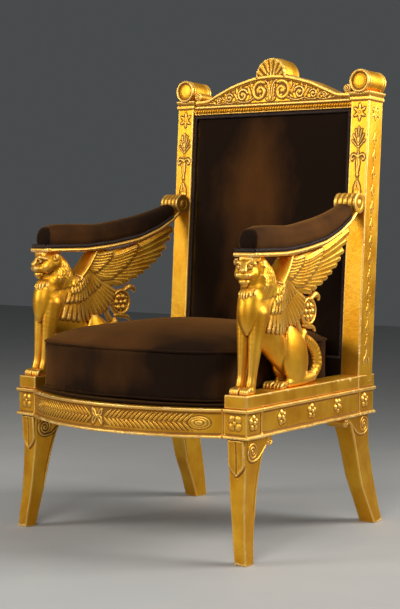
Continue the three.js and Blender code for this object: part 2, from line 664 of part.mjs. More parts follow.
// Locks of the mane lie close along the neck, from behind the ear down to the collar
function mane() {
  return pair((side) => [0, 1].map((i) => {
    const [top, foot] = [[102 + 24 * i, 664 - 8 * i], [90 + 38 * i, 590 + 4 * i]];
    const out = LION + side * 18;
    const middle = [out + side * 6, (top[0] + foot[0]) / 2 + 6, 626];
    return limb([[out, ...top], middle, [out + side * 6, ...foot]], [[5, 12], [9, 19], [5, 10]],
      { sides: 5, rings: 2 });
  })).flat();
}

function foreLeg(side) {
  const across = LION + side * 13;
  const spine = [[66, 545], [56, 490], [48, 430], [40, 396], [40, 376]];
  const bone = limb(spine.map(([along, up]) => [across, along, up]),
    [[15, 28], [11, 19], [8.5, 12], [8, 10], [9, 12]], { sides: 6, rings: 3 });
  return [bone, paw(across, 30, 22)];
}

function paw(across, along, long) {
  return ball([across, along, PLINTH_TOP + 9], [12, long, 14], 6, 3);
}

function hindLeg(side) {
  const across = LION + side * 14;
  const thigh = limb([[across, 208, 508], [across, 212, 478], [across, 226, 440], [across, 232, 404]],
    [[9, 17], [13, 33], [14, 48], [12, 48]], { sides: 6, rings: 3 });
  const foot = limb([[across, 168, 386], [across, 240, 387], [across, 322, 386]],
    [[10, 12], [11, 12], [9, 11]], { sides: 5, rings: 1 });
  return [thigh, foot, paw(across, 172, 20)];
}

function tail() {
  const spine = [[300, 386], [334, 390], [352, 414], [344, 446], [320, 468], [290, 486], [268, 512],
    [266, 545]];
  const halves = [[9, 8], [11, 11], [12, 13], [11, 13], [10, 12], [9, 10], [7, 7], [6, 5]];
  const stem = limb(spine.map(([along, up]) => [LION, along, up]), halves, { sides: 5, rings: 8 });
  const [ringAlong, ringUp, outer] = [314, 542, 34];
  const hoop = new THREE.Shape().absarc(ringAlong, ringUp, outer, 0, 2 * Math.PI);
  hoop.holes.push(new THREE.Path().absarc(ringAlong, ringUp, outer - 8, 0, 2 * Math.PI, true));
  const ring = new THREE.ExtrudeGeometry(hoop, { depth: 16, bevelEnabled: false, curveSegments: 6 });
  ring.applyMatrix4(new THREE.Matrix4().makeBasis(Y, Z, X)).translate(LION - 8, 0, 0);
  const berries = Array.from({ length: 4 }, (_, i) => {
    const angle = (2 * Math.PI * i) / 4;
    return bead([LION, ringAlong + 16 * Math.cos(angle), ringUp + 16 * Math.sin(angle)], [10, 14, 14]);
  });
  const bridge = box([LION - 6, LION + 6], [258, 284], [532, 548]);
  const flick = limb([[LION, 318, 572], [LION, 340, 580], [LION, 362, 576]], [[8, 5], [9, 8], [4, 3]],
    { sides: 4, rings: 3 });
  return [stem, ring, bridge, flick, ...berries];
}

// One feather, carved alike on both faces of the wing, from its root to its tip
function feather(root, tip, width, thick) {
  const length = Math.hypot(tip[0] - root[0], tip[1] - root[1]);
  const [wide, shoulder] = [width / 2, 0.72 * length];
  const blade = outline([[-0.3 * width, 0], [wide, shoulder], [0, length], [-wide, shoulder]]);
  const prism = new THREE.ExtrudeGeometry(blade, { depth: 2 * thick, bevelEnabled: false });
  const along = new THREE.Vector3(0, tip[0] - root[0], tip[1] - root[1]).normalize();
  prism.applyMatrix4(new THREE.Matrix4().makeBasis(new THREE.Vector3().crossVectors(along, X), along, X));
  return prism.translate(LION - thick, ...root);
}

// `count` feathers fanned from a row of roots to a row of tips, both smooth curves
function fan(roots, tips, count, width, thick) {
  const curve = (points) => new THREE.SplineCurve(points.map((p) => new THREE.Vector2(...p)));
  const [from, to] = [curve(roots), curve(tips)];
  return Array.from({ length: count }, (_, i) => {
    const t = i / (count - 1);
    const step = i % 2 ? 0.8 : 0; // neighbours step apart, so that each feather's edge shows
    const half = THREE.MathUtils.lerp(...thick, t) - step;
    return feather(from.getPoint(t).toArray(), to.getPoint(t).toArray(), width, half);
  });
}

// Outline of the spread wing, from the shoulder up its leading edge, along the arm and back below
const WING = [[104, 512], [112, 574], [140, 594], [172, 620], [190, 648], [208, 669], [257, 677],
  [362, 688], [416, 702], [452, 719], [497, 738], [471, 692], [427, 655], [362, 615], [298, 590],
  [264, 574], [240, 544], [195, 516]];

function wing() {
  const edge = [[112, 574], [140, 594], [172, 620], [190, 648], [208, 668], [236, 670]];
  const leading = limb(edge.map(([along, up]) => [LION, along, up]),
    [[24, 14], [18, 12], [14, 11], [12, 10], [11, 8], [8, 5]], { sides: 6, rings: 6 });
  const web = sideSlab(outline(WING), LION - 8, LION + 8);
  const primaries = fan([[226, 664], [206, 648], [200, 636]], [[490, 730], [427, 658], [300, 592]],
    4, 42, [9.5, 11]);
  const secondaries = fan([[140, 592], [160, 608], [184, 634], [200, 640]],
    [[104, 512], [162, 512], [219, 526], [264, 570]], 4, 50, [30, 10.5]);
  return [leading, web, ...primaries, ...secondaries];
}

function wingedLionPiece() {
  const whole = joined([...lionBody(), ...lionHead(), ...mane(), ...pair(foreLeg).flat(),
    ...pair(hindLeg).flat(), ...tail(), ...wing()]);
  const underBoard = outline([[-20, UNDER_ARM], ...raised(BOARD_LOW, -GAP), [600, 860], [-20, 860]]);
  const armRoom = sideSlab(underBoard, -90, 90);
  const floor = box([-90, 90], [-60, 600], [PLINTH_TOP - 60, PLINTH_TOP + GAP]);
  return cut(whole, armRoom, floor);
}

// ---- The chair ----

const throne = new THREE.Group();
const chair = new THREE.Group();
throne.add(chair);
const back = new THREE.Group();
back.position.set(0, BACK_Y, PLINTH_TOP);
back.rotation.x = -LEAN;
chair.add(back);

function add(group, name, geometry, material) {
  const mesh = new THREE.Mesh(geometry, new THREE.MeshStandardMaterial(material));
  mesh.name = name;
  group.add(mesh);
}

function addPair(group, name, geometry, material) {
  add(group, `${name}_right`, geometry, material);
  add(group, `${name}_left`, mirrored(geometry), material);
}

addPair(chair, 'front_leg', fromSide(frontLegPiece()), gilding);
addPair(chair, 'back_stile', backStilePiece(), gilding);
addPair(chair, 'side_rail', fromSide(sideRailPiece()), gilding);
addPair(chair, 'side_plinth', fromSide(sidePlinthPiece()), gilding);
add(chair, 'front_rail', frontRailPiece(), gilding);
add(chair, 'back_rail', backRailPiece(), gilding);
add(back, 'back_cross_rail', backCrossRailPiece(), gilding);
add(back, 'crest_rail', crestPiece(), gilding);
addPair(back, 'post_roll', postRollPiece(), gilding);
add(back, 'back_pad', backPadPiece(), velvet);
add(back, 'back_gimp', backGimpPiece(), braid);
add(back, 'outside_back', outsideBackPiece(), velvet);
addPair(chair, 'winged_lion', fromSide(wingedLionPiece()), gilding);
addPair(chair, 'arm', armPiece(), gilding);
addPair(chair, 'arm_pad', fromSide(armPadPiece()), velvet);
addPair(chair, 'arm_gimp', fromSide(armGimpPiece()), braid);
add(chair, 'seat_deck', seatDeckPiece(), velvet);
add(chair, 'seat_cushion', seatCushionPiece(), velvet);

// The origin goes to the middle of the footprint, on the floor
const reach = new THREE.Box3().setFromObject(throne, true);
chair.position.y = -(reach.min.y + reach.max.y) / 2;

export default throne;
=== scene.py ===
# %% [markdown]
# # A gilded throne with winged lions
#
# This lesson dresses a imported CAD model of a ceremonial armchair: carved and gilded beech, two
# seated lions whose raised wings carry the arms, and dark brown velvet with a loose cushion.
# The CAD gives every place and size. Here each plain solid gets its carved or upholstered skin.

# %% Load the frame
import json
import math

import bpy
import numpy as np
from mathutils import Matrix, Vector

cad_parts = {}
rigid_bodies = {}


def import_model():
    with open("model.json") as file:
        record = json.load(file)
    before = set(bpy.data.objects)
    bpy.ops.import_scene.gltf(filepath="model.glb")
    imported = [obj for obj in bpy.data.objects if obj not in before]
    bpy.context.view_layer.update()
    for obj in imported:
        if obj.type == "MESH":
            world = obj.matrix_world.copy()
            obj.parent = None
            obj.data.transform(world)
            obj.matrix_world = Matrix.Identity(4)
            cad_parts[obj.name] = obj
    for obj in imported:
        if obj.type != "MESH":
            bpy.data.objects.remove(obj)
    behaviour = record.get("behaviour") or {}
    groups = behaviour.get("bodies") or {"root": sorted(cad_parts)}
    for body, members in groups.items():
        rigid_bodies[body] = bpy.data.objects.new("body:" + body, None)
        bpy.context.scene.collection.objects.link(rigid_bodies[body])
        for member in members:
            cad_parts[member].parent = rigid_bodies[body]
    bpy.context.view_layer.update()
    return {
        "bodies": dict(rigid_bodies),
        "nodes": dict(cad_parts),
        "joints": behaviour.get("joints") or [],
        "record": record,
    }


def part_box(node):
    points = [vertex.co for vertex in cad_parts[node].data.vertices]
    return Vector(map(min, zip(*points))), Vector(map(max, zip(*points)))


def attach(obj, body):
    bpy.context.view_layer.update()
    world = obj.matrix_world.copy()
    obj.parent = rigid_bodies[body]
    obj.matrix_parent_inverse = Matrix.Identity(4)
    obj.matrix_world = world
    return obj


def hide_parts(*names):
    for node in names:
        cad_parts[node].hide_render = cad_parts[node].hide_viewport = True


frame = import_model()

# %% [markdown]
# ## Three working planes
#
# A cabinetmaker sets out a chair on three drawings: the plan, the side frame and the back. The
# sides close towards the back and the back leans, so each drawing has its own turned plane. We
# work in millimetres on those planes, and each piece is put in place by one of three functions.

# %% The working planes
MM = 0.001
SIDE_X = 327.0  # the side frame's middle plane at the front corner, from the chair's middle
SIDE_ANGLE = math.radians(5.05)
BACK_Y = 516.0  # the posts' front faces, where they leave the plinths
PLINTH_TOP = 1000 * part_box("side_plinth_right")[1][2]
LEAN = math.radians(3.5)
FRONT_Y = 1000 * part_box("seat_cushion")[0][1] + 62.0  # the front corners, in the row's frame


def chair_place(points):
    """Chair plane (x, y from the front corners, z) in millimetres to the row's metres."""
    return (points + [0, FRONT_Y, 0]) * MM


def side_place(points, side=1):
    """Side plane (outward, backward, up) to the row's metres; side is 1 right, -1 left."""
    out, along, up = points.T
    x = SIDE_X + out * math.cos(SIDE_ANGLE) - along * math.sin(SIDE_ANGLE)
    y = out * math.sin(SIDE_ANGLE) + along * math.cos(SIDE_ANGLE)
    return chair_place(np.column_stack([side * x, y, up]))


def back_place(points, side=1):
    """Back plane (x, depth, height above the plinths) to the row's metres."""
    x, depth, height = points.T
    y = BACK_Y + depth * math.cos(LEAN) + height * math.sin(LEAN)
    z = PLINTH_TOP - depth * math.sin(LEAN) + height * math.cos(LEAN)
    return chair_place(np.column_stack([side * x, y, z]))


print("Plinths' top:", round(PLINTH_TOP, 1), "mm; front corners at y =", round(FRONT_Y, 1), "mm")

# %% [markdown]
# ## Carving with a distance field
#
# Carved wood has soft arrises, undercut leaves and forms that melt into one another. Box modelling
# that takes many hand-placed loops. A signed distance field takes only formulas: each point of a
# fine grid holds its distance to the surface, negative inside. Adding wood is a minimum, cutting is
# a maximum, and a rounded minimum melts two forms together as a carver would.

# %% A block to carve
def melted(a, b, melt):
    """Minimum of two fields, rounded over a band `melt` wide."""
    if melt <= 0:
        return np.minimum(a, b)
    near = np.maximum(melt - np.abs(a - b), 0) / melt
    return np.minimum(a, b) - near * near * melt / 4


class Block:
    """A grid of distances in millimetres on one of the working planes."""

    def __init__(self, low, high, step):
        self.step = step
        self.low = np.array(low, float) - 3 * step
        count = np.ceil((np.array(high, float) - self.low) / step).astype(int) + 4
        self.axes = [self.low[i] + step * np.arange(count[i]) for i in range(3)]
        self.field = np.full(count, 40.0, np.float32)
        self.chips = []  # places and sizes of chips, where the gesso shows

    def window(self, low, high):
        cut = tuple(slice(*np.searchsorted(axis, (a, b))) for axis, a, b in zip(self.axes, low, high))
        return cut, np.ix_(*(axis[part].astype(np.float32) for axis, part in zip(self.axes, cut)))

    def add(self, shape, low, high, melt=0.0):
        cut, places = self.window(low, high)
        self.field[cut] = melted(self.field[cut], shape(*places), melt)

    def carve(self, shape, low, high, melt=0.0):
        cut, places = self.window(low, high)
        self.field[cut] = -melted(-self.field[cut], shape(*places), melt)

    def everywhere(self):
        return np.ix_(*(axis.astype(np.float32) for axis in self.axes))


# %% [markdown]
# The block is turned into a mesh by surface nets: one vertex in each grid cell that the surface
# crosses, at the middle of its crossings, and one four-sided face for each grid edge it crosses.
# The field also tells how round the surface is: blurred distances rise over arrises and sink in
# hollows. That is kept as a vertex attribute, `relief`, and the gilding reads it.

# %% From block to skin
def crossings(field, cells):
    """Mean crossing point in each cell, in cell units."""
    total = np.zeros((len(cells), 3))
    count = np.zeros(len(cells))
    for axis in range(3):
        step = np.eye(3, dtype=int)[axis]
        for a in (0, 1):
            for b in (0, 1):
                start = np.insert([a, b], axis, 0)
                first = field[tuple((cells + start).T)]
                second = field[tuple((cells + start + step).T)]
                crossed = (first < 0) != (second < 0)
                share = first[crossed] / (first[crossed] - second[crossed])
                total[crossed] += start + step * share[:, None]
                count[crossed] += 1
    return total / count[:, None]


def nets(block):
    """Vertices in millimetres, four-sided faces, and the cells they came from."""
    field = block.field
    inside = field < 0
    corners = [inside[i:i - 1 or None, j:j - 1 or None, k:k - 1 or None] for i in (0, 1) for j in (0, 1)
               for k in (0, 1)]
    filled = sum(corner.astype(np.int8) for corner in corners)
    cells = np.argwhere((filled > 0) & (filled < 8))
    number = np.full(filled.shape, -1, np.int32)
    number[tuple(cells.T)] = np.arange(len(cells))
    points = block.low + block.step * (cells + crossings(field, cells))
    faces = []
    for axis in range(3):
        step = np.eye(3, dtype=int)[axis]
        b, c = np.eye(3, dtype=int)[(axis + 1) % 3], np.eye(3, dtype=int)[(axis + 2) % 3]
        ahead = np.roll(inside, -1, axis)
        edges = np.argwhere(inside != ahead)
        edges = edges[(edges + step < np.array(field.shape)).all(1)]
        ring = [number[tuple((edges - o).T)] for o in (b + c, c, 0 * b, b)]
        quad = np.column_stack(ring)
        outward = inside[tuple(edges.T)]
        quad[~outward] = quad[~outward][:, ::-1]
        faces.append(quad)
    return points, np.vstack(faces), cells


def blurred(field, reach):
    for axis in range(3):
        field = sum(np.roll(field, shift, axis) for shift in range(-reach, reach + 1)) / (2 * reach + 1)
    return field


def relief_of(block, cells, reach=2):
    """How far each vertex stands proud (positive) or lies in a hollow (negative), about -1 to 1."""
    capped = np.clip(block.field, -5 * block.step, 5 * block.step)
    rise = (blurred(capped, reach) - capped) / block.step
    corners = [rise[tuple((cells + [i, j, k]).T)] for i in (0, 1) for j in (0, 1) for k in (0, 1)]
    return np.clip(np.mean(corners, 0), -1, 1)


def linked(piece):
    bpy.context.scene.collection.objects.link(piece)
    return piece


def small_object(name, points, edges=(), faces=()):
    """An object of few points, not linked to the scene yet."""
    mesh = bpy.data.meshes.new(name)
    mesh.from_pydata([tuple(point) for point in points], list(edges), list(faces))
    return bpy.data.objects.new(name, mesh)


def tube_faces(rings, sides, start=0):
    """Faces of a closed tube: its points come ring after ring, `sides` in each."""
    faces = []
    for low in range(start, start + (rings - 1) * sides, sides):
        for spot in range(sides):
            after = (spot + 1) % sides
            faces.append((low + spot, low + after, low + sides + after, low + sides + spot))
    last = start + (rings - 1) * sides
    return faces + [tuple(range(start, start + sides))[::-1], tuple(range(last, last + sides))]


def mesh_object(name, points, faces, **attributes):
    """A mesh object at the origin from arrays; attributes hold one value for each vertex."""
    faces = np.asarray(faces, np.int32)
    mesh = bpy.data.meshes.new(name)
    mesh.vertices.add(len(points))
    mesh.vertices.foreach_set("co", np.asarray(points, np.float32).ravel())
    mesh.loops.add(faces.size)
    mesh.loops.foreach_set("vertex_index", faces.ravel())
    mesh.polygons.add(len(faces))
    mesh.polygons.foreach_set("loop_start", np.arange(len(faces), dtype=np.int32) * faces.shape[1])
    for label, values in attributes.items():
        mesh.attributes.new(label, "FLOAT", "POINT").data.foreach_set("value", np.asarray(values, np.float32))
    mesh.update(calc_edges=True)
    mesh.shade_smooth()
    return linked(bpy.data.objects.new(name, mesh))


def settle(piece):
    """Applies a piece's modifiers, leaving a plain mesh."""
    view = bpy.context.evaluated_depsgraph_get()
    mesh = bpy.data.meshes.new_from_object(piece.evaluated_get(view))
    piece.modifiers.clear()
    piece.data = mesh
    return piece


def triangles(piece):
    return sum(len(face.vertices) - 2 for face in piece.data.polygons)


def skin(block, name, place, most=0, side=1, warp=None, painted_shade=None):
    """The block's surface as a piece put in place, thinned to at most `most` triangles."""
    points, faces, cells = nets(block)
    relief, bare = relief_of(block, cells), np.zeros(len(points))
    # An optional rule lowers the relief, so that the gilding paints those places darker: painted shade
    if painted_shade:
        relief = relief + painted_shade(points)
    for *middle, size in block.chips:
        bare = np.maximum(bare, 1.5 - np.linalg.norm(points - middle, axis=1) / size)
    if warp:
        points = warp(points)
    points = place(points, side) if side else place(points)
    if side == -1:
        faces = faces[:, ::-1]
    piece = mesh_object(name, points, faces, relief=relief, bare=np.clip(bare, 0, 1))
    if most and 2 * len(faces) > most:
        thin = piece.modifiers.new("thin", "DECIMATE")
        thin.ratio = most / (2 * len(faces))
        settle(piece)
    print(name, "has", triangles(piece), "triangles")
    return piece


def finished(piece, material, slot_name, *nodes):
    """Gives a piece its finish, and makes it ride and stand for its CAD nodes."""
    piece.data.materials.clear()
    piece.data.materials.append(material)
    piece.data.shade_smooth()
    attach(piece, "root")
    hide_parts(*nodes)
    return piece


SIDES = (("right", 1), ("left", -1))


def gild_pairs(place, *rows):
    """Skins and gilds both sides' pieces; rows of block, piece's name, most triangles, CAD node."""
    for label, side in SIDES:
        for block, name, most, node in rows:
            piece = skin(block, name + label, place, most, side)
            finished(piece, GILDING, "gilding", node + label)


# %% [markdown]
# Shapes are functions that return a distance for every place: a bone with a changing girth, an egg,
# a slab cut to an outline. Curves run smoothly through a few points, as a spline of the carver's.

# %% Shapes
def smooth_path(points, each=5):
    """A Catmull-Rom curve through the points (rows may hold further values, such as a radius)."""
    points = np.asarray(points, float)
    ends = np.vstack([2 * points[0] - points[1], points, 2 * points[-1] - points[-2]])
    share = np.linspace(0, 1, each, endpoint=False)[:, None]
    spans = []
    for a, b, c, d in zip(ends, ends[1:], ends[2:], ends[3:]):
        spans.append(0.5 * (2 * b + (c - a) * share + (2 * a - 5 * b + 4 * c - d) * share ** 2
                            + (3 * b - a - 3 * c + d) * share ** 3))
    return np.vstack(spans + [points[-1:]])


def bone(path, across=1.0, each=5):
    """A rounded limb along rows of (x, y, z, radius); `across` widens it along x."""
    path = smooth_path(path, each)

    def distance(x, y, z):
        best = None
        for (ax, ay, az, ar), (bx, by, bz, br) in zip(path, path[1:]):
            dx, dy, dz = (bx - ax) / across, by - ay, bz - az
            px, py, pz = (x - ax) / across, y - ay, z - az
            share = np.clip((px * dx + py * dy + pz * dz) / (dx * dx + dy * dy + dz * dz + 1e-9), 0, 1)
            gap = np.sqrt((px - share * dx) ** 2 + (py - share * dy) ** 2 + (pz - share * dz) ** 2)
            gap = gap - (ar + (br - ar) * share)
            best = gap if best is None else np.minimum(best, gap)
        return best * min(1.0, across)
    return distance


def egg(centre, halves):
    def distance(x, y, z):
        px, py, pz = (x - centre[0]), (y - centre[1]), (z - centre[2])
        near = np.sqrt((px / halves[0]) ** 2 + (py / halves[1]) ** 2 + (pz / halves[2]) ** 2)
        slope = np.sqrt((px / halves[0] ** 2) ** 2 + (py / halves[1] ** 2) ** 2 + (pz / halves[2] ** 2) ** 2)
        return near * (near - 1) / (slope + 1e-9)
    return distance


def outline_distance(points, a, b):
    """Signed distance on a plane to a closed outline; a and b broadcast together."""
    points = np.asarray(points, float)
    best = np.full(np.broadcast(a, b).shape, 1e9, np.float32)
    sign = np.ones(best.shape, np.float32)
    for (ax, ay), (bx, by) in zip(points, np.roll(points, -1, 0)):
        dx, dy = bx - ax, by - ay
        px, py = a - ax, b - ay
        share = np.clip((px * dx + py * dy) / (dx * dx + dy * dy + 1e-9), 0, 1)
        best = np.minimum(best, (px - share * dx) ** 2 + (py - share * dy) ** 2)
        crossing = ((ay > b) != (by > b)) & (a < dx * (b - ay) / (dy if dy else 1e-9) + ax)
        sign = np.where(crossing, -sign, sign)
    return sign * np.sqrt(best)


def rounded_box(low, high, radius=1.5):
    low, high = np.array(low, float), np.array(high, float)
    middle, half = (low + high) / 2, (high - low) / 2 - radius

    def distance(x, y, z):
        qx, qy, qz = (np.abs(v - m) - h for v, m, h in zip((x, y, z), middle, half))
        out = np.sqrt(np.maximum(qx, 0) ** 2 + np.maximum(qy, 0) ** 2 + np.maximum(qz, 0) ** 2)
        return out + np.minimum(np.maximum(np.maximum(qx, qy), qz), 0) - radius
    return distance


def meet(*fields, round_edge=2.0):
    """Intersection of fields, with the arris rounded."""
    whole = fields[0]
    for field in fields[1:]:
        whole = -melted(-whole, -field, round_edge)
    return whole


# %% [markdown]
# Low relief is drawn on a face as a height map. Strokes, leaves and discs each give a height, and
# the highest one wins, so that each leaf keeps its own cut edge.

# %% Relief on a face
def stroke(a, b, path, width, height, each=5):
    """A rounded ridge along rows of (a, b) or (a, b, share of the width)."""
    path = np.asarray(path, float)
    if path.shape[1] == 2:
        path = np.column_stack([path, np.ones(len(path))])
    path = smooth_path(path, each)
    rise = np.zeros(np.broadcast(a, b).shape, np.float32)
    for (ax, ay, aw), (bx, by, bw) in zip(path, path[1:]):
        dx, dy = bx - ax, by - ay
        share = np.clip(((a - ax) * dx + (b - ay) * dy) / (dx * dx + dy * dy + 1e-9), 0, 1)
        wide = width * (aw + (bw - aw) * share)
        gap = np.hypot(a - ax - share * dx, b - ay - share * dy)
        rise = np.maximum(rise, height * np.sqrt(np.clip(1 - (gap / np.maximum(wide, 0.1)) ** 2, 0, 1))
                          * np.minimum(1, 0.4 + wide / width))
    return rise


def leaf(a, b, root, tip, width, height, veins=0, groove=0.35):
    """A pointed leaf with a sunk midrib; `veins` cuts that many side veins on each half."""
    root, tip = np.asarray(root, float), np.asarray(tip, float)
    length = np.hypot(*(tip - root))
    along = (tip - root) / length
    share = ((a - root[0]) * along[0] + (b - root[1]) * along[1]) / length
    off = ((b - root[1]) * along[0] - (a - root[0]) * along[1]) / width
    inner = np.clip(share, 1e-4, 1 - 1e-4)
    wide = np.sin(np.pi * inner ** 0.8) ** 0.8
    depth = np.clip(1 - np.abs(off) / np.maximum(wide, 1e-3), 0, 1)
    rise = height * np.minimum(1, 3 * depth) ** 0.6 * (0.55 + 0.45 * depth) * (0.75 + 0.25 * inner)
    rise = rise - groove * height * np.exp(-(off / 0.13) ** 2) * (depth > 0)
    if veins:
        rise = rise - 0.15 * height * (
            1 + np.cos(2 * np.pi * veins * (inner - 0.5 * np.abs(off)))) * (depth > 0)
    return np.where((share > 0) & (share < 1) & (depth > 0), np.maximum(rise, 0), 0)


def spray(a, b, root, middle, halves, angles, *sizes, **more):
    """Leaves from one root to tips on an ellipse round `middle`, at angles in degrees."""
    tips = [(middle[0] + halves[0] * math.cos(t), middle[1] + halves[1] * math.sin(t))
            for t in np.radians(angles)]
    return highest(*[leaf(a, b, root, tip, *sizes, **more) for tip in tips])


def disc(a, b, centre, radius, height, power=0.5):
    gap = ((a - centre[0]) ** 2 + (b - centre[1]) ** 2) / radius ** 2
    return height * np.clip(1 - gap, 0, 1) ** power


def highest(*heights):
    return np.maximum.reduce(np.broadcast_arrays(*heights))


def scroll_path(eye, radius, turns, last, way, tail=(), inner=0.16, count=16):
    """A spiral round its eye, out to `radius` at angle `last`, and then on along `tail`."""
    share = np.linspace(0, 1, count)
    angle = last - way * 2 * np.pi * turns * (1 - share)
    reach = radius * (inner + (1 - inner) * share)
    turn = np.column_stack([eye[0] + reach * np.cos(angle), eye[1] + reach * np.sin(angle)])
    return np.vstack([turn, np.reshape(tail, (-1, 2))])


def rosette(a, b, centre, radius, petals, height, turn=0.0):
    """A flower of rounded petals round a button."""
    x, y = a - centre[0], b - centre[1]
    reach = np.hypot(x, y) / radius
    wave = np.abs(np.cos((np.arctan2(y, x) - turn) * petals / 2))
    edge = 0.62 + 0.38 * wave ** 0.6
    depth = np.clip(1 - reach / edge, 0, 1)
    petal = height * np.minimum(1, 3 * depth) ** 0.6 * (0.45 + 0.55 * wave) * np.clip(0.4 + reach, 0, 1)
    return highest(petal, disc(a, b, centre, 0.26 * radius, 1.15 * height))


print("Carving tools are ready")

# %% [markdown]
# ## Finishes
#
# Water gilding is gold leaf on coloured clay over chalk gesso. It shines on the parts that were
# burnished, stays matt and brown in the hollows, where old size and dust gather, and is rubbed
# through to pale gesso along arrises that hands and brooms meet. So one material mixes four tones
# by the `relief` attribute and by noise, and only its metal and roughness change with them. The
# pale tone on raised parts is partly a painted highlight, and the brown in the hollows is partly
# painted shade.

# %% Small helpers for material nodes
class Finish:
    """A material with a Principled shader, and short ways to add and link nodes."""

    def __init__(self, name, **settings):
        self.material = bpy.data.materials.new(name)
        self.material.use_nodes = True
        self.tree = self.material.node_tree
        self.shader = self.tree.nodes["Principled BSDF"]
        self.coordinates = self.node("TexCoord").outputs["Object"]
        for key, value in settings.items():
            self.shader.inputs[key.replace("_", " ")].default_value = value

    def node(self, kind, inputs=(), **properties):
        node = self.tree.nodes.new("ShaderNode" + kind)
        for key, value in properties.items():
            setattr(node, key, value)
        for key, value in dict(inputs).items():
            self.feed(node.inputs[key], value)
        return node

    def feed(self, socket, value):
        if isinstance(value, bpy.types.NodeSocket):
            self.tree.links.new(value, socket)
        else:
            socket.default_value = value

    def noise(self, scale, detail=4.0, stretch=(1, 1, 1), roughness=0.55):
        place = self.node("Mapping", {"Vector": self.coordinates, "Scale": stretch}).outputs[0]
        settings = {"Vector": place, "Scale": scale, "Detail": detail, "Roughness": roughness}
        return self.node("TexNoise", settings).outputs["Fac"]

    def steps(self, value, low, high, start=0.0, end=1.0):
        settings = {"Value": value, "From Min": low, "From Max": high, "To Min": start, "To Max": end}
        return self.node("MapRange", settings, clamp=True).outputs[0]

    def math(self, operation, a, b=0.0, clamp=False):
        node = self.node("Math", operation=operation, use_clamp=clamp)
        self.feed(node.inputs[0], a)
        self.feed(node.inputs[1], b)
        return node.outputs[0]

    def mix(self, share, a, b):
        node = self.node("Mix", data_type="RGBA")
        for socket, value in zip((node.inputs[0], node.inputs[6], node.inputs[7]), (share, a, b)):
            self.feed(socket, value)
        return node.outputs[2]

    def attribute(self, name):
        return self.node("Attribute", attribute_name=name).outputs["Fac"]

    def bump(self, height, distance, strength=1.0, under=None):
        settings = {"Height": height, "Distance": distance, "Strength": strength}
        if under is not None:
            settings["Normal"] = under
        return self.node("Bump", settings).outputs[0]

    def set(self, **links):
        for key, value in links.items():
            self.feed(self.shader.inputs[key.replace("_", " ")], value)
        return self.material


def tone(red, green, blue):
    return (red, green, blue, 1.0)


# %% [markdown]
# The leaf comes first, then what changes it: its own clouds, bright arrises (burnished, and partly a
# painted highlight), brown hollows (patina, and partly painted shade), gesso.

# %% Gilding
def gilding(name="gilding"):
    gold = Finish(name, Specular_IOR_Level=0.2)
    relief = gold.attribute("relief")
    cloudy = gold.noise(14, 5)
    streaky = gold.noise(60, 4, stretch=(1, 1, 0.35))
    fine = gold.noise(420, 3)
    # The leaf's own tone wanders between orange and lemon
    leafy = gold.mix(gold.steps(cloudy, 0.38, 0.62), tone(0.76, 0.33, 0.013), tone(0.88, 0.46, 0.034))
    leafy = gold.mix(gold.steps(streaky, 0.55, 0.75, 0, 0.35), leafy, tone(0.55, 0.22, 0.018))
    # Raised parts turn a paler, brighter gold: burnished leaf, and partly a painted highlight
    high = gold.steps(gold.math("ADD", relief, gold.math("MULTIPLY", fine, 0.12)), 0.12, 0.42)
    raised = gold.mix(gold.math("MULTIPLY", high, 0.75), leafy, tone(0.98, 0.65, 0.19))
    # Hollows turn dark brown: old size and dust, and partly painted shade
    hollow = gold.steps(gold.math("SUBTRACT", relief, gold.math("MULTIPLY", cloudy, 0.08)), -0.05, -0.3)
    sunk = gold.mix(gold.math("MULTIPLY", hollow, 0.85), raised, tone(0.16, 0.062, 0.010))
    patchy = gold.steps(gold.noise(38, 6, roughness=0.7), 0.53, 0.62)
    rubbed = gold.math("MULTIPLY", gold.steps(relief, 0.34, 0.6), patchy, clamp=True)
    rubbed = gold.math("MAXIMUM", rubbed, gold.steps(gold.attribute("bare"), 0.15, 0.5))
    colour = gold.mix(gold.math("MULTIPLY", rubbed, 0.8), sunk, tone(0.74, 0.51, 0.21))
    dull = gold.math("MAXIMUM", gold.math("MULTIPLY", hollow, 0.8), rubbed)
    metal = gold.steps(dull, 0, 1, 0.88, 0.1)
    rough = gold.math("ADD", gold.steps(dull, 0, 1, 0.36, 0.62), gold.math("MULTIPLY", cloudy, 0.14))
    surface = gold.bump(gold.noise(95, 4), 0.0012, 0.35)
    surface = gold.bump(fine, 0.0004, 0.25, surface)
    return gold.set(Base_Color=colour, Metallic=metal, Roughness=rough, Normal=surface)


# %% [markdown]
# Velvet is a stand of short upright threads. It is nearly black face on, and glows at its edges
# and wherever the pile has been brushed over. A sheen layer gives the glow, and broad noise turned
# along the nap gives the brushed patches. A stored attribute shifts the tone further: it holds
# brushing, and on some pieces painted light and shade, such as lighter tops and sides, darker
# fronts and darker hidden parts.

# %% Velvet and gimp
def velvet(name="velvet"):
    pile = Finish(name, Roughness=0.85, Sheen_Weight=0.3, Sheen_Roughness=0.35,
                  Sheen_Tint=tone(0.8, 0.36, 0.08), Specular_IOR_Level=0.08)
    nap_and_light = pile.attribute("nap_and_light")
    patches = pile.noise(5.5, 5, stretch=(1, 1, 0.6))
    threads = pile.noise(900, 2, stretch=(1, 1, 0.5))
    # The stored attribute shifts the tone: brushed pile, and on some pieces painted light and shade
    brushed_and_lit = pile.steps(pile.math("ADD", patches, pile.math("MULTIPLY", nap_and_light, 0.35)), 0.42, 0.85)
    colour = pile.mix(brushed_and_lit, tone(0.012, 0.0052, 0.0022), tone(0.098, 0.036, 0.007))
    colour = pile.mix(pile.steps(threads, 0.35, 0.7, 0, 0.35), colour, tone(0.006, 0.003, 0.002))
    surface = pile.bump(threads, 0.0006, 0.5)
    return pile.set(Base_Color=colour, Normal=surface)


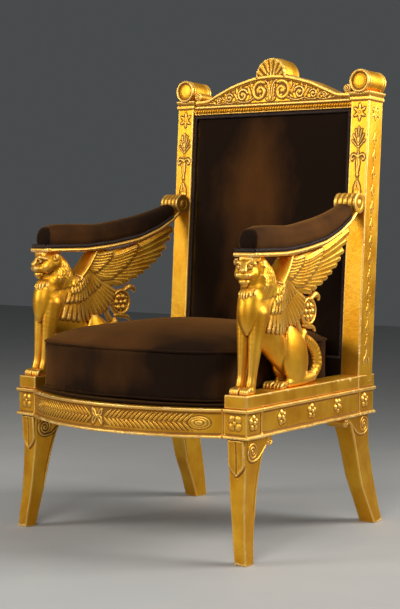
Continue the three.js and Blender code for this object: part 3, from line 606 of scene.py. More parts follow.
def gimp(name="gimp"):
    braid = Finish(name, Roughness=0.75, Specular_IOR_Level=0.12)
    threads = braid.noise(700, 2, stretch=(1, 1, 1))
    cord = braid.mix(braid.steps(threads, 0.35, 0.65), tone(0.022, 0.014, 0.013), tone(0.13, 0.088, 0.078))
    # The ground between the cords is painted near black: painted shade between the cords
    colour = braid.mix(braid.steps(braid.attribute("relief"), -0.5, 0.5), tone(0.004, 0.0025, 0.002), cord)
    return braid.set(Base_Color=colour, Normal=braid.bump(threads, 0.0004, 0.6))


GILDING, VELVET, GIMP = gilding(), velvet(), gimp()
print("Finishes:", [finish.name for finish in (GILDING, VELVET, GIMP)])

# %% [markdown]
# ## Legs and corner blocks
#
# A sabre leg is sawn from thick stock to a side pattern, then tapered across. Its sides carry an
# Ionic scroll under the rail, and the front a pointed tongue. The corner blocks continue the
# rails' mouldings. Gilded edges are the first to be knocked, so small chips show the gesso.

# %% Mouldings, chips and sawn outlines
RAIL_LOW, RAIL_TOP, RAIL_FACE, BLOCK = 277.0, 343.5, 27.0, 66.0
FRIEZE = 313.0  # height of the middle of the sunk panel
RAIL_REAR = 510.6  # where the side rails and the plinths end at the back legs
LOW_ARRIS, HIGH_ARRIS = 277.5, 343  # the heights at which the rails' mouldings get knocked


def moulding(z):
    """How far the rails' mouldings stand out from the panel between them, 0 to 1."""
    low = np.interp(z, RAIL_LOW + np.array([0, 1, 2.2, 6.4, 7.2, 8.2, 9.6]), [0.72, 1, 1, 0.86, 0.42, 0.4, 0])
    high = np.interp(z, RAIL_TOP - np.array([12, 10.4, 9.2, 8.2, 6.8, 2.6, 1, 0]),
                     [0, 0.2, 0.22, 0.42, 0.96, 1, 0.92, 0.75])
    return np.maximum(low, high).astype(np.float32)


def chip_along(block, *arrises):
    """Knocks small chips out of arrises: rows of start, end, how many, their size and a seed."""
    for start, end, count, size, seed in arrises:
        luck = np.random.default_rng(seed)
        for share in luck.uniform(0.02, 0.98, count):
            middle = np.array(start) + share * (np.array(end) - np.array(start))
            halves = size * luck.uniform(0.5, 1.0, 3) * np.array([1, 1.5, 0.8])
            block.carve(egg(middle, halves), middle - 12, middle + 12, 0.6)
            block.chips.append((*middle, 1.35 * halves.max()))


def corner_box(x, y, z, near, far):
    """The block between the rails: sunk faces between two mouldings that run round it."""
    proud = moulding(z)
    bounds = [x - RAIL_FACE - 6 * proud, -BLOCK / 2 - x, near + 5 - 5 * proud - y, y - far + 5 - 5 * proud,
              RAIL_LOW - z, z - RAIL_TOP]
    return bounds


def sawn(front, rear):
    """Outline of a leg from its two edges, each a smooth curve, down the front and up the rear."""
    return np.vstack([smooth_path(front, 4), smooth_path(rear, 4)])


# %% [markdown]
# Each side of the leg is a height map: a ridge winds out of the scroll's eye and sweeps along the
# leg's edge to a small roll under the rail, and a narrow fillet follows the edge down to the foot.

# %% Carve a leg
def knob(a, b, centre, turn=0.3):
    """The rails' round flowers: five cupped petals round a high button."""
    petals = rosette(a, b, centre, 19, 5, 4.8, turn)
    return highest(petals, disc(a, b, centre, 6.6, 7.4), disc(a, b, centre, 16, 2.4, 0.3))


def leg_sides(a, b, outline, eye, radius, end):
    """Height map of a leg's side: scroll, plate, fillet and the small roll at `end`."""
    way = np.sign(end[0] - eye[0])
    down = -np.pi / 2
    sweep = [(eye[0] + way * share * abs(end[0] - eye[0]), eye[1] - radius * drop)
             for share, drop in ((0.3, 0.86), (0.55, 0.25), (0.75, -0.35))]
    path = scroll_path(eye, radius, 2.4, down, way, [*sweep, (end[0] - way * 6, end[1] - 2)], 0.12, 22)
    round_side = [(eye[0] - radius * way * math.cos(t), eye[1] - radius * math.sin(t))
                  for t in np.linspace(0, np.pi / 2, 6)]
    plate = [*round_side, *sweep, (end[0], end[1] + 12), (eye[0] - way * radius, RAIL_LOW + 3)]
    raised = 1.3 * np.clip(-outline_distance(plate, a, b) / 1.5, 0, 1)
    fillet = 2.2 * np.clip(1 - np.abs(outline + 3.6) / 2.8, 0, 1) ** 0.5 * (way * (a - eye[0]) > 8)
    ridge = stroke(a, b, path, 2.9, 3.1)
    roll = stroke(a, b, scroll_path(end, 9.5, 1.3, -way * 0.5, way, (), 0.2, 12), 2.4, 2.8)
    return highest(raised, fillet, ridge, roll, disc(a, b, eye, 4.2, 3.3))


def carve_leg(step, front, rear, foot_inner, foot_outer, eye, radius, end, near, far):
    """A leg from its sawn edges, its taper at the foot and its scroll, under a block near..far."""
    spans = np.vstack([front, rear])
    first, last = min(spans[:, 0].min(), end[0] - 12), max(spans[:, 0].max(), end[0] + 12, far)
    block = Block((-34, first - 2, -1), (36, last + 2, PLINTH_TOP + 1 if near else RAIL_TOP + 1), step)
    x, y, z = block.everywhere()
    a, b = y[0], z[0]
    sawn_edge = outline_distance(sawn(front, rear), a, b)
    sides = leg_sides(a, b, sawn_edge, eye, radius, end)
    down = np.clip(1 - z / RAIL_LOW, 0, 1)
    inner = -30 + foot_inner * down ** 1.6
    outer = 23 + foot_outer * down ** 3 - 3 * np.sin(np.pi * down)
    hollow = 2.2
    across = np.maximum(x - outer + hollow - sides[None], inner + hollow - sides[None] - x)
    leg = np.maximum(sawn_edge, b - RAIL_LOW - 2)[None]
    if near == 0:
        tongue = [(-25, 276), (-25, 222), (-20.5, 211), (-12, 201), (-3, 193), (6, 201), (14.5, 211),
                  (19, 222), (19, 276)]
        depth = -outline_distance(tongue, x[:, 0], z[0])
        middle = np.exp(-((x[:, 0] + 3) / 1.5) ** 2) * (depth > 4)
        rise = 5.2 * np.clip(depth / 2.2, 0, 1) ** 0.5 - 1.3 * np.clip((depth - 3) / 6, 0, 1) - 1.8 * middle
        rise = rise - 0.9 * np.exp(-((depth + 1.6) / 1.1) ** 2)
        forward = np.clip((eye[0] - 8 - y) / 6, 0, 1)
        leg = leg - rise[:, None] * forward
    roll = np.maximum(np.hypot(y - end[0], z - end[1] + 1.5) - 11.5,
                      np.abs(x + 3.5) - 25.5 - 0.8 * sides[None] + 1)
    block.field = np.minimum(meet(across, leg, round_edge=2.2), roll).astype(np.float32)
    bounds = corner_box(x, y, z, near, far)
    front_flower = 1.7 * np.clip(rosette(x[:, 0], z[0], (-3, FRIEZE), 20, 4, 2.0, np.pi / 4), 0, 2)
    bounds[0] = bounds[0] - knob(y[0], z[0], ((near + far) / 2 - (11 if near else 1), FRIEZE))[None]
    if near == 0:
        bounds[2] = bounds[2] - front_flower[:, None]
    die = meet(*bounds, round_edge=1.4)
    if near:
        die = np.minimum(die, rounded_box((-33, near, RAIL_TOP - 4), (27, far, PLINTH_TOP), 2)(x, y, z))
        seam = np.maximum(np.abs(y - near - 3), np.abs(z - FRIEZE) - 24)
        die = np.maximum(die, -np.maximum(seam - 0.9, 24 - x))
    block.field = melted(block.field, die, 0.5).astype(np.float32)
    block.field = np.maximum(block.field, -z).astype(np.float32)
    return block


LEG_STEP = 1.35
front_block = carve_leg(
    LEG_STEP, [(10, 279), (13, 212), (10, 146), (6.6, 81), (2, 38), (0, 0)],
    [(33, 0), (41, 50), (50, 96), (57, 140), (66, 183), (79, 226), (95, 257), (112, 279)],
    27, 8, (40, 248), 21, (110, 266), 0, BLOCK)
chip_along(front_block, ((30.5, 3, 4), (20, 11, 260), 7, 2.2, 3),
                        ((30, 33, 2), (24, 78, 226), 6, 2.0, 4),
                        ((-4, 1, 1), (30, 1, 1), 4, 3.0, 5),
                        ((-30, 0.5, 278), (32, 0.5, 278), 4, 2.2, 6),
                        ((33, 2, 278), (33, 64, 278), 3, 2.6, 7))
back_block = carve_leg(
    LEG_STEP, [(462, 279), (490, 246), (514, 191), (537, 114), (562, 61), (589, 0)],
    [(628, 0), (611, 79), (595, 144), (580, 208), (575, 279)],
    17, 12, (548, 252), 23, (462, 266), 511, 591)
chip_along(back_block, ((35, 596, 2), (35, 626, 2), 4, 3.2, 8),
                       ((33, 513, 278), (33, 590, 278), 3, 2.4, 9))
gild_pairs(side_place, (front_block, "sabre_leg_", 60000, "front_leg_"),
           (back_block, "raked_leg_", 60000, "back_stile_"))

# %% [markdown]
# ## Side rails and plinths
#
# The side rails are planed with an ovolo along both edges and a sunk panel between them, where
# turned flowers are glued on. A plain plinth above each rail carries the lion. Planks this plain
# live by their arrises: slightly rounded, wavy from hand planing, and knocked in places.

# %% Side rails and plinths
def carve_side_rail(step):
    low, high = BLOCK + 0.4, RAIL_REAR
    block = Block((-28, low - 1, RAIL_LOW - 1), (36, high + 1, RAIL_TOP + 1), step)
    x, y, z = block.everywhere()
    flowers = highest(*[knob(y[0], z[0], (middle, FRIEZE), turn)
                        for middle, turn in ((151, 0.5), (284, 0.2), (406, 0.9))])
    wave = 0.35 * np.sin(y / 31) + 0.25 * np.sin(y / 13 + 1)
    face = x - RAIL_FACE - (6 + wave) * moulding(z) - flowers[None]
    bounds = [face, -RAIL_FACE - x, low - y, y - high,
              RAIL_LOW + 0.4 * (1 + np.sin(y / 23)) - z, z - RAIL_TOP]
    block.field = meet(*bounds, round_edge=1.4).astype(np.float32)
    chip_along(block, ((32, low + 5, LOW_ARRIS), (32, high - 5, LOW_ARRIS), 11, 2.6, 11),
                      ((32, low + 5, HIGH_ARRIS), (32, high - 5, HIGH_ARRIS), 5, 2.0, 12))
    return block


def carve_plinth(step):
    block = Block((-34, 5, RAIL_TOP), (29, 512, PLINTH_TOP + 1), step)
    x, y, z = block.everywhere()
    wave = 0.5 * np.sin(y / 37) + 0.3 * np.sin(y / 15 + 2)
    bounds = [x - RAIL_FACE - 0.5 * wave, -BLOCK / 2 - x, 6 - y, y - RAIL_REAR, RAIL_TOP + 0.4 - z,
              z - PLINTH_TOP + 0.3 * np.abs(wave)]
    block.field = meet(*bounds, round_edge=3.0).astype(np.float32)
    chip_along(block, ((27, 60, PLINTH_TOP), (27, 500, PLINTH_TOP), 6, 2.8, 13))
    return block


RAIL_STEP = 1.4
side_block, plinth_block = carve_side_rail(RAIL_STEP), carve_plinth(RAIL_STEP)
gild_pairs(side_place, (side_block, "moulded_rail_", 50000, "side_rail_"),
           (plinth_block, "lion_plinth_", 20000, "side_plinth_"))

# %% [markdown]
# ## The bowed front rail
#
# The front rail is bent, or sawn and veneered, to a shallow bow. It is easiest carved flat: the
# block below is the unrolled rail, and a warp lays it round the bow. Its ends meet the corner
# blocks, which stand askew. A ribbon knot marks the middle, and a bud ends each laurel branch.

# %% Carve the rail flat and bend it
BOW_RADIUS, BOW_CENTRE, RAIL_THICK = 525.2, 437.2, 42


def bowed(points):
    """Unrolled rail (along, depth, z) to the chair plane."""
    angle, reach = points[:, 0] / BOW_RADIUS, BOW_RADIUS - points[:, 1]
    return np.column_stack([reach * np.sin(angle), BOW_CENTRE - reach * np.cos(angle), points[:, 2]])


def branch(a, b):
    """1 where the laurel leaves lie, fading at its edges."""
    return (np.clip((a - 12) / 4, 0, 1) * np.clip((238 - a) / 5, 0, 1)
            * np.clip((20 - np.abs(b - FRIEZE + 2)) / 3, 0, 1))


def frieze_relief(a, b):
    """Midrib, knot and buds of the laurel branches, on the unrolled face."""
    a = np.abs(a)
    rib = stroke(a, b, [(14, FRIEZE - 1), (120, FRIEZE - 2), (232, FRIEZE - 2)], 1.3, 1.6)
    rib = rib - 0.9 * branch(a, b)
    knot = highest(disc(a, b, (0, FRIEZE - 1), 6, 4.2), *[
        stroke(a, b, [(2, FRIEZE - 1), (9, FRIEZE + rise), (15, FRIEZE + 1.25 * rise),
                      (12, FRIEZE + 0.3 * rise), (3, FRIEZE - 1)], 2.6, 3.2) for rise in (12, -14)])
    bud, rings = 0, 0
    for wide, tall, height in ((26, 14.5, 1.5), (18.5, 10, 1.3), (9.5, 5.5, 1.3)):
        gap = (np.hypot((a - 258) / wide, (b - FRIEZE + 2) / tall) - 1) * tall
        bud = bud + height * np.clip(-gap / 2, 0, 1) ** 0.6
        rings = rings + 0.8 * np.exp(-((gap - 0.8) / 0.9) ** 2)
    return highest(rib, knot, bud) - rings


def carve_front_rail(step):
    block = Block((-346, -8, RAIL_LOW - 1), (346, 43, RAIL_TOP + 1), step)
    x, y, z = block.everywhere()
    wave = 0.3 * np.sin(x / 29) + 0.25 * np.sin(x / 11 + 1)
    face = -(6 + wave) * moulding(z) - y
    rise = frieze_relief(x[:, 0], z[0])
    face = face - rise[:, None]
    round_place = bowed(np.column_stack([g.ravel() for g in np.broadcast_arrays(x[:, :, 0], y[:, :, 0])]
                                        + [np.zeros(x.shape[0] * y.shape[1])]))
    tilt = ((np.abs(round_place[:, 0]) - SIDE_X) * math.cos(SIDE_ANGLE)
            + round_place[:, 1] * math.sin(SIDE_ANGLE))
    ends = (tilt + BLOCK / 2 + 0.4).reshape(x.shape[0], y.shape[1], 1)
    back = (y - RAIL_THICK).astype(float)
    bounds = [face, back, ends, RAIL_LOW + 0.5 * (1 + np.sin(x / 19)) - z, z - RAIL_TOP]
    block.field = meet(*bounds, round_edge=1.4).astype(np.float32)
    chip_along(block, ((-280, -5.5, LOW_ARRIS), (280, -5.5, LOW_ARRIS), 22, 3.0, 21),
                      ((-280, -5.5, HIGH_ARRIS), (280, -5.5, HIGH_ARRIS), 12, 2.2, 22))
    return block


front_rail_block = carve_front_rail(RAIL_STEP)
# The flat ground among the laurel leaves gets a lower relief, so the gilding paints it brown: painted shade
# between the leaves
piece = skin(front_rail_block, "bowed_rail", chair_place, 110000, 0, warp=bowed, painted_shade=lambda p: (
    -0.3 * branch(np.abs(p[:, 0]), p[:, 2]) * (p[:, 1] < 3)))
finished(piece, GILDING, "gilding", "front_rail")

# %% [markdown]
# The laurel leaves repeat, so Geometry Nodes lays them out: one line of points, one carved leaf on
# each, in an upper and a lower row for each branch. The nodes then bend the whole row to the bow.

# %% Small helpers for Geometry Nodes
class Tree:
    """A node group of one mesh or curve in and one mesh out, with named number inputs."""

    def __init__(self, name, **numbers):
        self.group = bpy.data.node_groups.new(name, "GeometryNodeTree")
        face = self.group.interface
        face.new_socket("Geometry", in_out="INPUT", socket_type="NodeSocketGeometry")
        face.new_socket("Geometry", in_out="OUTPUT", socket_type="NodeSocketGeometry")
        for label, value in numbers.items():
            kind = "NodeSocketInt" if isinstance(value, int) else "NodeSocketFloat"
            face.new_socket(label, in_out="INPUT", socket_type=kind).default_value = value
        self.entry = self.group.nodes.new("NodeGroupInput")
        self.numbers = numbers

    def __getitem__(self, label):
        return self.entry.outputs[label]

    def node(self, kind, inputs=(), output=0, **properties):
        node = self.group.nodes.new(kind)
        for key, value in properties.items():
            setattr(node, key, value)
        for key, value in dict(inputs).items():
            if isinstance(value, bpy.types.NodeSocket):
                self.group.links.new(value, node.inputs[key])
            else:
                node.inputs[key].default_value = value
        return node.outputs[output]

    def math(self, operation, a, b=0.0):
        return self.node("ShaderNodeMath", {0: a, 1: b}, operation=operation)

    def vector(self, x=0.0, y=0.0, z=0.0):
        return self.node("ShaderNodeCombineXYZ", {0: x, 1: y, 2: z})

    def finish(self, geometry, material):
        """Ends the tree in real geometry with its material."""
        real = self.node("GeometryNodeRealizeInstances", {0: geometry})
        coloured = self.node("GeometryNodeSetMaterial", {"Geometry": real, "Material": material})
        self.group.links.new(coloured, self.group.nodes.new("NodeGroupOutput").inputs[0])

    def run(self, piece, **numbers):
        """Runs the tree on a piece with these inputs, and leaves it a plain mesh."""
        modifier = piece.modifiers.new(self.group.name, "NODES")
        modifier.node_group = self.group
        for item in self.group.interface.items_tree:
            if item.in_out == "INPUT" and item.name in numbers:
                modifier[item.identifier] = numbers[item.name]
        settle(piece)
        if "relief" not in piece.data.attributes:
            piece.data.attributes.new("relief", "FLOAT", "POINT")
        piece.data.shade_smooth()
        print(piece.name, "has", triangles(piece), "triangles")
        return piece


def carved_leaf(name, length, width, height):
    """A closed leaf lying on the plane y = 0, with a midrib, pointing along +x; few faces."""
    stations = np.linspace(0, 1, 9)
    wide = width / 2 * np.sin(np.pi * stations ** 0.75) ** 0.7
    wide[[0, -1]] = 0.02 * width
    rings = []
    for share, half in zip(stations, wide):
        lift = height * (0.35 + 0.65 * math.sin(math.pi * min(share ** 0.8, 1)))
        profile = [(-half, 0.6), (-0.72 * half, -0.75 * lift), (-0.3 * half, -lift), (0, -0.68 * lift),
                   (0.3 * half, -lift), (0.72 * half, -0.75 * lift), (half, 0.6)]
        rings.append([(length * share, y, z) for z, y in profile])
    points = np.array(rings).reshape(-1, 3) * MM
    # By these values the gilding paints the leaf's ridges brighter and its edges and midrib darker: partly
    # painted highlight and painted shade
    relief = [-0.6, -0.1, 0.34, -0.2, 0.34, -0.1, -0.6]
    piece = small_object(name, points, faces=tube_faces(len(stations), len(relief)))
    piece.data.validate()
    stored = piece.data.attributes.new("relief", "FLOAT", "POINT")
    stored.data.foreach_set("value", np.tile(relief, len(stations)))
    return piece


# %% [markdown]
# Each leaf stands slanted on its point of the line; Side and Row mirror it.

# %% Laurel leaves along the frieze
LAUREL = Tree("laurel_row", Count=18, Pitch=0.0118, Start=0.020, Side=1.0, Row=1.0, Slant=0.72, Height=0.311,
              Radius=BOW_RADIUS * MM)
index = LAUREL.node("GeometryNodeInputIndex")
line = LAUREL.node("GeometryNodeMeshLine", {"Count": LAUREL["Count"]})
along = LAUREL.math("MULTIPLY", LAUREL["Side"],
                    LAUREL.math("ADD", LAUREL["Start"], LAUREL.math("MULTIPLY", index, LAUREL["Pitch"])))
line = LAUREL.node("GeometryNodeSetPosition",
                   {"Geometry": line, "Position": LAUREL.vector(along, 0.0005, LAUREL["Height"])})
turn = LAUREL.math("MULTIPLY", LAUREL["Slant"], LAUREL.math("MULTIPLY", LAUREL["Row"], -1.0))
flat = LAUREL.node("GeometryNodeInstanceOnPoints", {
    "Points": line, "Instance": LAUREL.entry.outputs["Geometry"], "Rotation": LAUREL.vector(0.0, turn, 0.0)})
real = LAUREL.node("GeometryNodeRealizeInstances", {0: flat})
place = LAUREL.node("GeometryNodeInputPosition")
split = LAUREL.group.nodes.new("ShaderNodeSeparateXYZ")
LAUREL.group.links.new(place, split.inputs[0])
angle = LAUREL.math("DIVIDE", split.outputs[0], LAUREL["Radius"])
reach = LAUREL.math("SUBTRACT", LAUREL["Radius"], split.outputs[1])
inward = LAUREL.math("MULTIPLY", reach, LAUREL.math("COSINE", angle))
bent = LAUREL.vector(LAUREL.math("MULTIPLY", reach, LAUREL.math("SINE", angle)),
                     LAUREL.math("SUBTRACT", (BOW_CENTRE + FRONT_Y) * MM, inward), split.outputs[2])
LAUREL.finish(LAUREL.node("GeometryNodeSetPosition", {"Geometry": real, "Position": bent}), GILDING)

for side_name, side in SIDES:
    for row_name, row in (("upper", 1.0), ("lower", -1.0)):
        leaf_mesh = carved_leaf("laurel", 31, 8.4, 3.4)
        if side < 0:
            leaf_mesh.data.transform(Matrix.Scale(-1, 4, (1, 0, 0)))
            leaf_mesh.data.flip_normals()
        leaf_mesh.name = "laurel_" + side_name + "_" + row_name
        LAUREL.run(linked(leaf_mesh), Side=float(side), Row=row * side)
        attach(leaf_mesh, "root")

# %% [markdown]
# ## The back posts
#
# The posts are square uprights with shallow carving down the front and the outer face: a star, a
# palmette on its stem, a calyx with a drop and a long leaf, each outlined with a fine cut in the
# gesso. A moulded cap with a saddle carries the turned roll.

# %% Carve a post
POST_MIDDLE, POST_HALF, POST_DEPTH, POST_FOOT = 278.1, 26.7, 61.0, -14
CAP_LOW, CAP_TOP = 674, 696
ROLL_RADIUS, ROLL_HEIGHT = 29.0, 721.0
STAR = (0, 645)  # the middle of the star under each cap


def incised(rise, depth=0.9, cells=1):
    """Cuts a fine groove round everything that stands out of a face."""
    wide = mask = rise > 0.12
    for _ in range(cells):
        wide = wide | np.roll(wide, 1, 0) | np.roll(wide, -1, 0) | np.roll(wide, 1, 1) | np.roll(wide, -1, 1)
    return np.where(wide & ~mask, -depth, rise)


def post_front(a, b):
    star = highest(spray(a, b, STAR, STAR, (21, 23), range(30, 390, 60), 4.6, 2.0, groove=0.5),
                   disc(a, b, STAR, 4.2, 2.2))
    fronds = [
        stroke(a, b, [(0, root, 0.5), (0.45 * dx, root + 0.45 * rise, 0.8), (dx, root + rise, 1)], 2.3, 2.1)
        for dx, root, rise in ((0, 570, 38), (-9, 568, 34), (9, 568, 34), (-15, 563, 27), (15, 563, 27),
                               (-18, 557, 19), (18, 557, 19))]
    stem = stroke(a, b, [(0, 570), (0, 550), (0.5, 534)], 2.0, 2.0)
    curls = [stroke(a, b, [(0, 534), (s * 7, 540), (s * 15, 541), (s * 20, 534), (s * 16, 528),
                           (s * 13, 532)], 2.9, 2.3) for s in (-1, 1)]
    drop = [leaf(a, b, (0, 541), (0, 488), 6.5, 2.5, groove=0.5), disc(a, b, (0, 490), 4.6, 2.3),
            disc(a, b, (0, 482), 2.5, 1.8)]
    long_leaf = [leaf(a, b, (0, 432), (0, 480), 12.5, 4.2, veins=5), disc(a, b, (0, 446), 11.5, 4.4),
                 stroke(a, b, [(0, 436), (-9, 430), (-13, 437)], 2.2, 2),
                 stroke(a, b, [(0, 436), (9, 430), (13, 437)], 2.2, 2)]
    return incised(highest(star, *fronds, stem, *curls, *drop, *long_leaf))


def post_side(a, b):
    shapes = [spray(a, b, STAR, STAR, (17, 21), range(30, 390, 60), 4.2, 1.9, groove=0.5)]
    for index in range(13):
        top = 598 - 42 * index
        shapes += [leaf(a, b, (0, top), (0, top - 33), 4.4, 1.7, groove=0.5),
                   disc(a, b, (0, top - 36), 2.0, 1.5)]
        shapes += [leaf(a, b, (0, top - 6), (s * 8.5, top - 22), 2.8, 1.4, groove=0.4) for s in (-1, 1)]
    shapes.append(highest(*[stroke(a, b, [(0, 62), (s * 5, 48), (s * 11, 40), (s * 12, 30)], 2.4, 1.8)
                            for s in (-1, 1)]))
    shapes.append(leaf(a, b, (0, 66), (0, 26), 5, 2.0))
    return incised(highest(*shapes), 0.7)


def carve_post(step):
    block = Block((POST_MIDDLE - 33, -7, -15), (POST_MIDDLE + 33, POST_DEPTH + 7, 703), step)
    x, y, z = block.everywhere()
    a, d = x - POST_MIDDLE, y - POST_DEPTH / 2
    cap = np.interp(z, [674, 675, 677, 682, 683.5, 684.5, 686, 690, 695, 696],
                    [0, 2.4, 3, 3, 2, 0.8, 1.5, 3.8, 5, 4.6]).astype(np.float32)
    wave = 0.25 * np.sin(z / 41) + 0.15 * np.sin(z / 17 + 1)
    front = -d - POST_DEPTH / 2 - cap - post_front(a[:, 0], z[0])[:, None] * (z < CAP_LOW - 2)
    outer = a - POST_HALF - cap - wave - post_side(d[0], z[0])[None] * (z < CAP_LOW - 2)
    bounds = [front, outer, -a - POST_HALF - cap + wave, d - POST_DEPTH / 2 - cap, POST_FOOT - z, z - CAP_TOP]
    shape = meet(*bounds, round_edge=1.6)
    saddle = ROLL_RADIUS + 0.4 - np.hypot(a, z - ROLL_HEIGHT)
    block.field = np.maximum(shape, saddle).astype(np.float32)
    chip_along(block, ((304, 0.5, 20), (304, 0.5, 660), 8, 1.6, 31),
                      ((251.6, 0.5, 380), (251.6, 0.5, 660), 4, 1.6, 32))
    return block


# %% [markdown]
# A roll is turned, so one profile of reach and depth is spun about its axis.

# %% Carve the rolls
def carve_roll(step):
    block = Block((POST_MIDDLE - 31, -12, ROLL_HEIGHT - 31), (POST_MIDDLE + 31, 73, ROLL_HEIGHT + 31), step)
    x, y, z = block.everywhere()
    front = [(0, -7.4), (12, -7.0), (18.6, -5.6), (20.4, -4.2), (21.6, -6.4), (23, -9.2), (26.4, -10),
             (28.4, -9), (29, -7), (28.8, -3), (27.4, -2.2), (27.4, 0.2), (28.7, 1), (28.9, 4.6),
             (27.9, 5.6), (28.4, 20)]
    back = [(r, POST_DEPTH - d) for r, d in front[::-1]]
    profile = np.array(front + back)
    spin = np.hypot(x - POST_MIDDLE, z - ROLL_HEIGHT)
    loop = np.vstack([profile, [(-4, profile[-1][1]), (-4, profile[0][1])]])
    block.field = outline_distance(loop, spin, y).astype(np.float32)
    return block


POST_STEP = 1.4
post_block, roll_block = carve_post(POST_STEP), carve_roll(1.1)
gild_pairs(back_place, (post_block, "back_post_", 110000, "back_stile_"),
           (roll_block, "turned_roll_", 30000, "post_roll_"))

# %% [markdown]
# ## The crest rail
#
# The crest is a low pediment with a scallop shell over its middle. The ground is sunk between a
# raised edge that rolls up at both ends and a fillet below. Two C-scrolls spring from an acanthus
# under the shell, and leafy scrolls shrink towards the ends. All of it is drawn once for the right
# half and mirrored.

# %% Carve the crest
CREST_LOW, CREST_FRONT, CREST_BACK, CREST_END, CREST_SUNK = 657.0, 2.0, 50.0, 251.0, 3.0
SHELL_RADIUS, SHELL_HEIGHT, SHELL_BACK, SHELL_RIBS = 47.0, 748.0, 63.5, 9
CURL = (238, 705)  # the eye of the curl at each end
PEDIMENT = [(250, 694), (231, 695), (207, 697), (186, 705), (155, 718), (125, 730), (85, 741), (47, 749),
            (0, 752)]


def top_edge(x):
    curve = smooth_path(PEDIMENT[::-1], 6)
    return np.interp(np.abs(x), curve[:, 0], curve[:, 1])


def rinceau(a, b, eye, radius, lead, leaves):
    """A scroll with a flower in its eye; a stem leads in, and leaves spring from its outer side."""
    path = scroll_path(eye, radius, 1.35, lead, 1, (), 0.22, 16)
    shapes = [stroke(a, b, path, 2.6 * radius / 14 + 0.8, 3.4), disc(a, b, eye, 0.26 * radius, 3.6)]
    for angle in np.radians([20, 140, 260]):
        berry = (eye[0] + 0.42 * radius * math.cos(angle), eye[1] + 0.42 * radius * math.sin(angle))
        shapes.append(disc(a, b, berry, 0.15 * radius, 2.8))
    for angle, reach, wide in leaves:
        angle = math.radians(angle)
        out = np.array([math.cos(angle), math.sin(angle)])
        root = np.array(eye) + 0.8 * radius * out
        side = np.array([-out[1], out[0]])
        shapes.append(leaf(a, b, root, root + reach * (0.8 * out + 0.6 * side), wide, 3.2, veins=3))
    return highest(*shapes)


def crest_relief(x, b):
    a = np.abs(x)
    top = top_edge(x)
    below = top - b
    edge = 5.6 * np.clip(1 - ((below - 4.6) / 5.2) ** 4, 0, 1) ** 0.5
    edge = np.maximum(edge, 2.2 * (below > 0) * (below < 12.5))
    fillet = 6.0 * np.clip(1 - np.abs((b - 676.5) / 4.2) ** 4, 0, 1) ** 0.5
    shapes = [rinceau(a, b, eye, radius, math.radians(lead), leaves) for eye, radius, lead, leaves in (
        ((35, 711), 26, 120, [(-50, 15, 4.5), (-15, 17, 4.8), (25, 15, 4.5)]),
        ((91, 703), 17, 160, [(-80, 12, 4), (-35, 14, 4.2), (10, 15, 4.2), (60, 14, 4)]),
        ((134, 698), 12, 160, [(-75, 9, 3.4), (-30, 11, 3.6), (20, 12, 3.6), (70, 10, 3)]),
        ((168, 693), 8, 160, [(-70, 7, 2.8), (-10, 9, 3), (40, 9, 2.8)]))]
    shapes += [stroke(a, b, [(56, 694), (68, 687), (88, 685), (108, 690)], 2.2, 2.9),
               stroke(a, b, [(106, 690), (122, 685), (138, 684), (149, 690)], 1.8, 2.5),
               stroke(a, b, [(148, 687), (162, 684), (176, 684), (200, 688)], 1.5, 2.1)]
    shapes += [leaf(a, b, root, tip, wide, 3.2, veins=4) for root, tip, wide in (
        ((58, 708), (66, 736), 6), ((64, 700), (76, 728), 5), ((106, 700), (113, 726), 5),
        ((60, 700), (72, 690), 4), ((108, 696), (122, 714), 4.5), ((146, 694), (151, 714), 3.8),
        ((147, 690), (160, 704), 3.4), ((176, 690), (185, 701), 3.0), ((178, 686), (196, 694), 2.8),
        ((190, 685), (210, 689), 2.4))]
    calyx = [leaf(a, b, (0, 684), (dx, 684 + rise), wide, 4.6, veins=4) for dx, rise, wide in
             ((0, 56, 8), (13, 52, 6), (7, 55, 6), (18, 12, 5), (12, 22, 5))]
    calyx.append(stroke(a, b, [(0, 688), (3, 702), (4, 716), (9, 730), (18, 738)], 3.2, 4.4))
    inside = (below > 9) & (b > 680)
    rise = highest(*shapes, *calyx) * inside
    return incised(highest(rise, edge, fillet), 0.5)


def shell_relief(a, b):
    """Nine ribs that spread from the foot to a scalloped rim."""
    x, y = a, b - SHELL_HEIGHT + 12
    reach, angle = np.hypot(x, y), np.arctan2(y, x)
    outer = np.hypot(a, b - SHELL_HEIGHT)
    flute = np.abs(np.cos((angle - np.pi / 2) * SHELL_RIBS))
    bowl = 5.0 * (1 - np.clip(reach / 50, 0, 1) ** 2)
    ribs = 4.4 * flute ** 0.55 * np.clip(reach / 24, 0.25, 1) - bowl
    rim = (2.4 + 1.6 * flute) * np.clip(1 - ((outer - 43.6) / 3.4) ** 4, 0, 1) ** 0.5
    foot = spray(a, b, (0, SHELL_HEIGHT - 14), (0, SHELL_HEIGHT - 12), (26, 28), (90, 60, 120, 32, 148),
                 4.5, 4.5)
    sunk = 7 * np.clip((746 - b) / 6, 0, 1)
    return np.where(outer < 40.5, np.maximum(ribs - 0.5, foot - 1.5), rim) - sunk


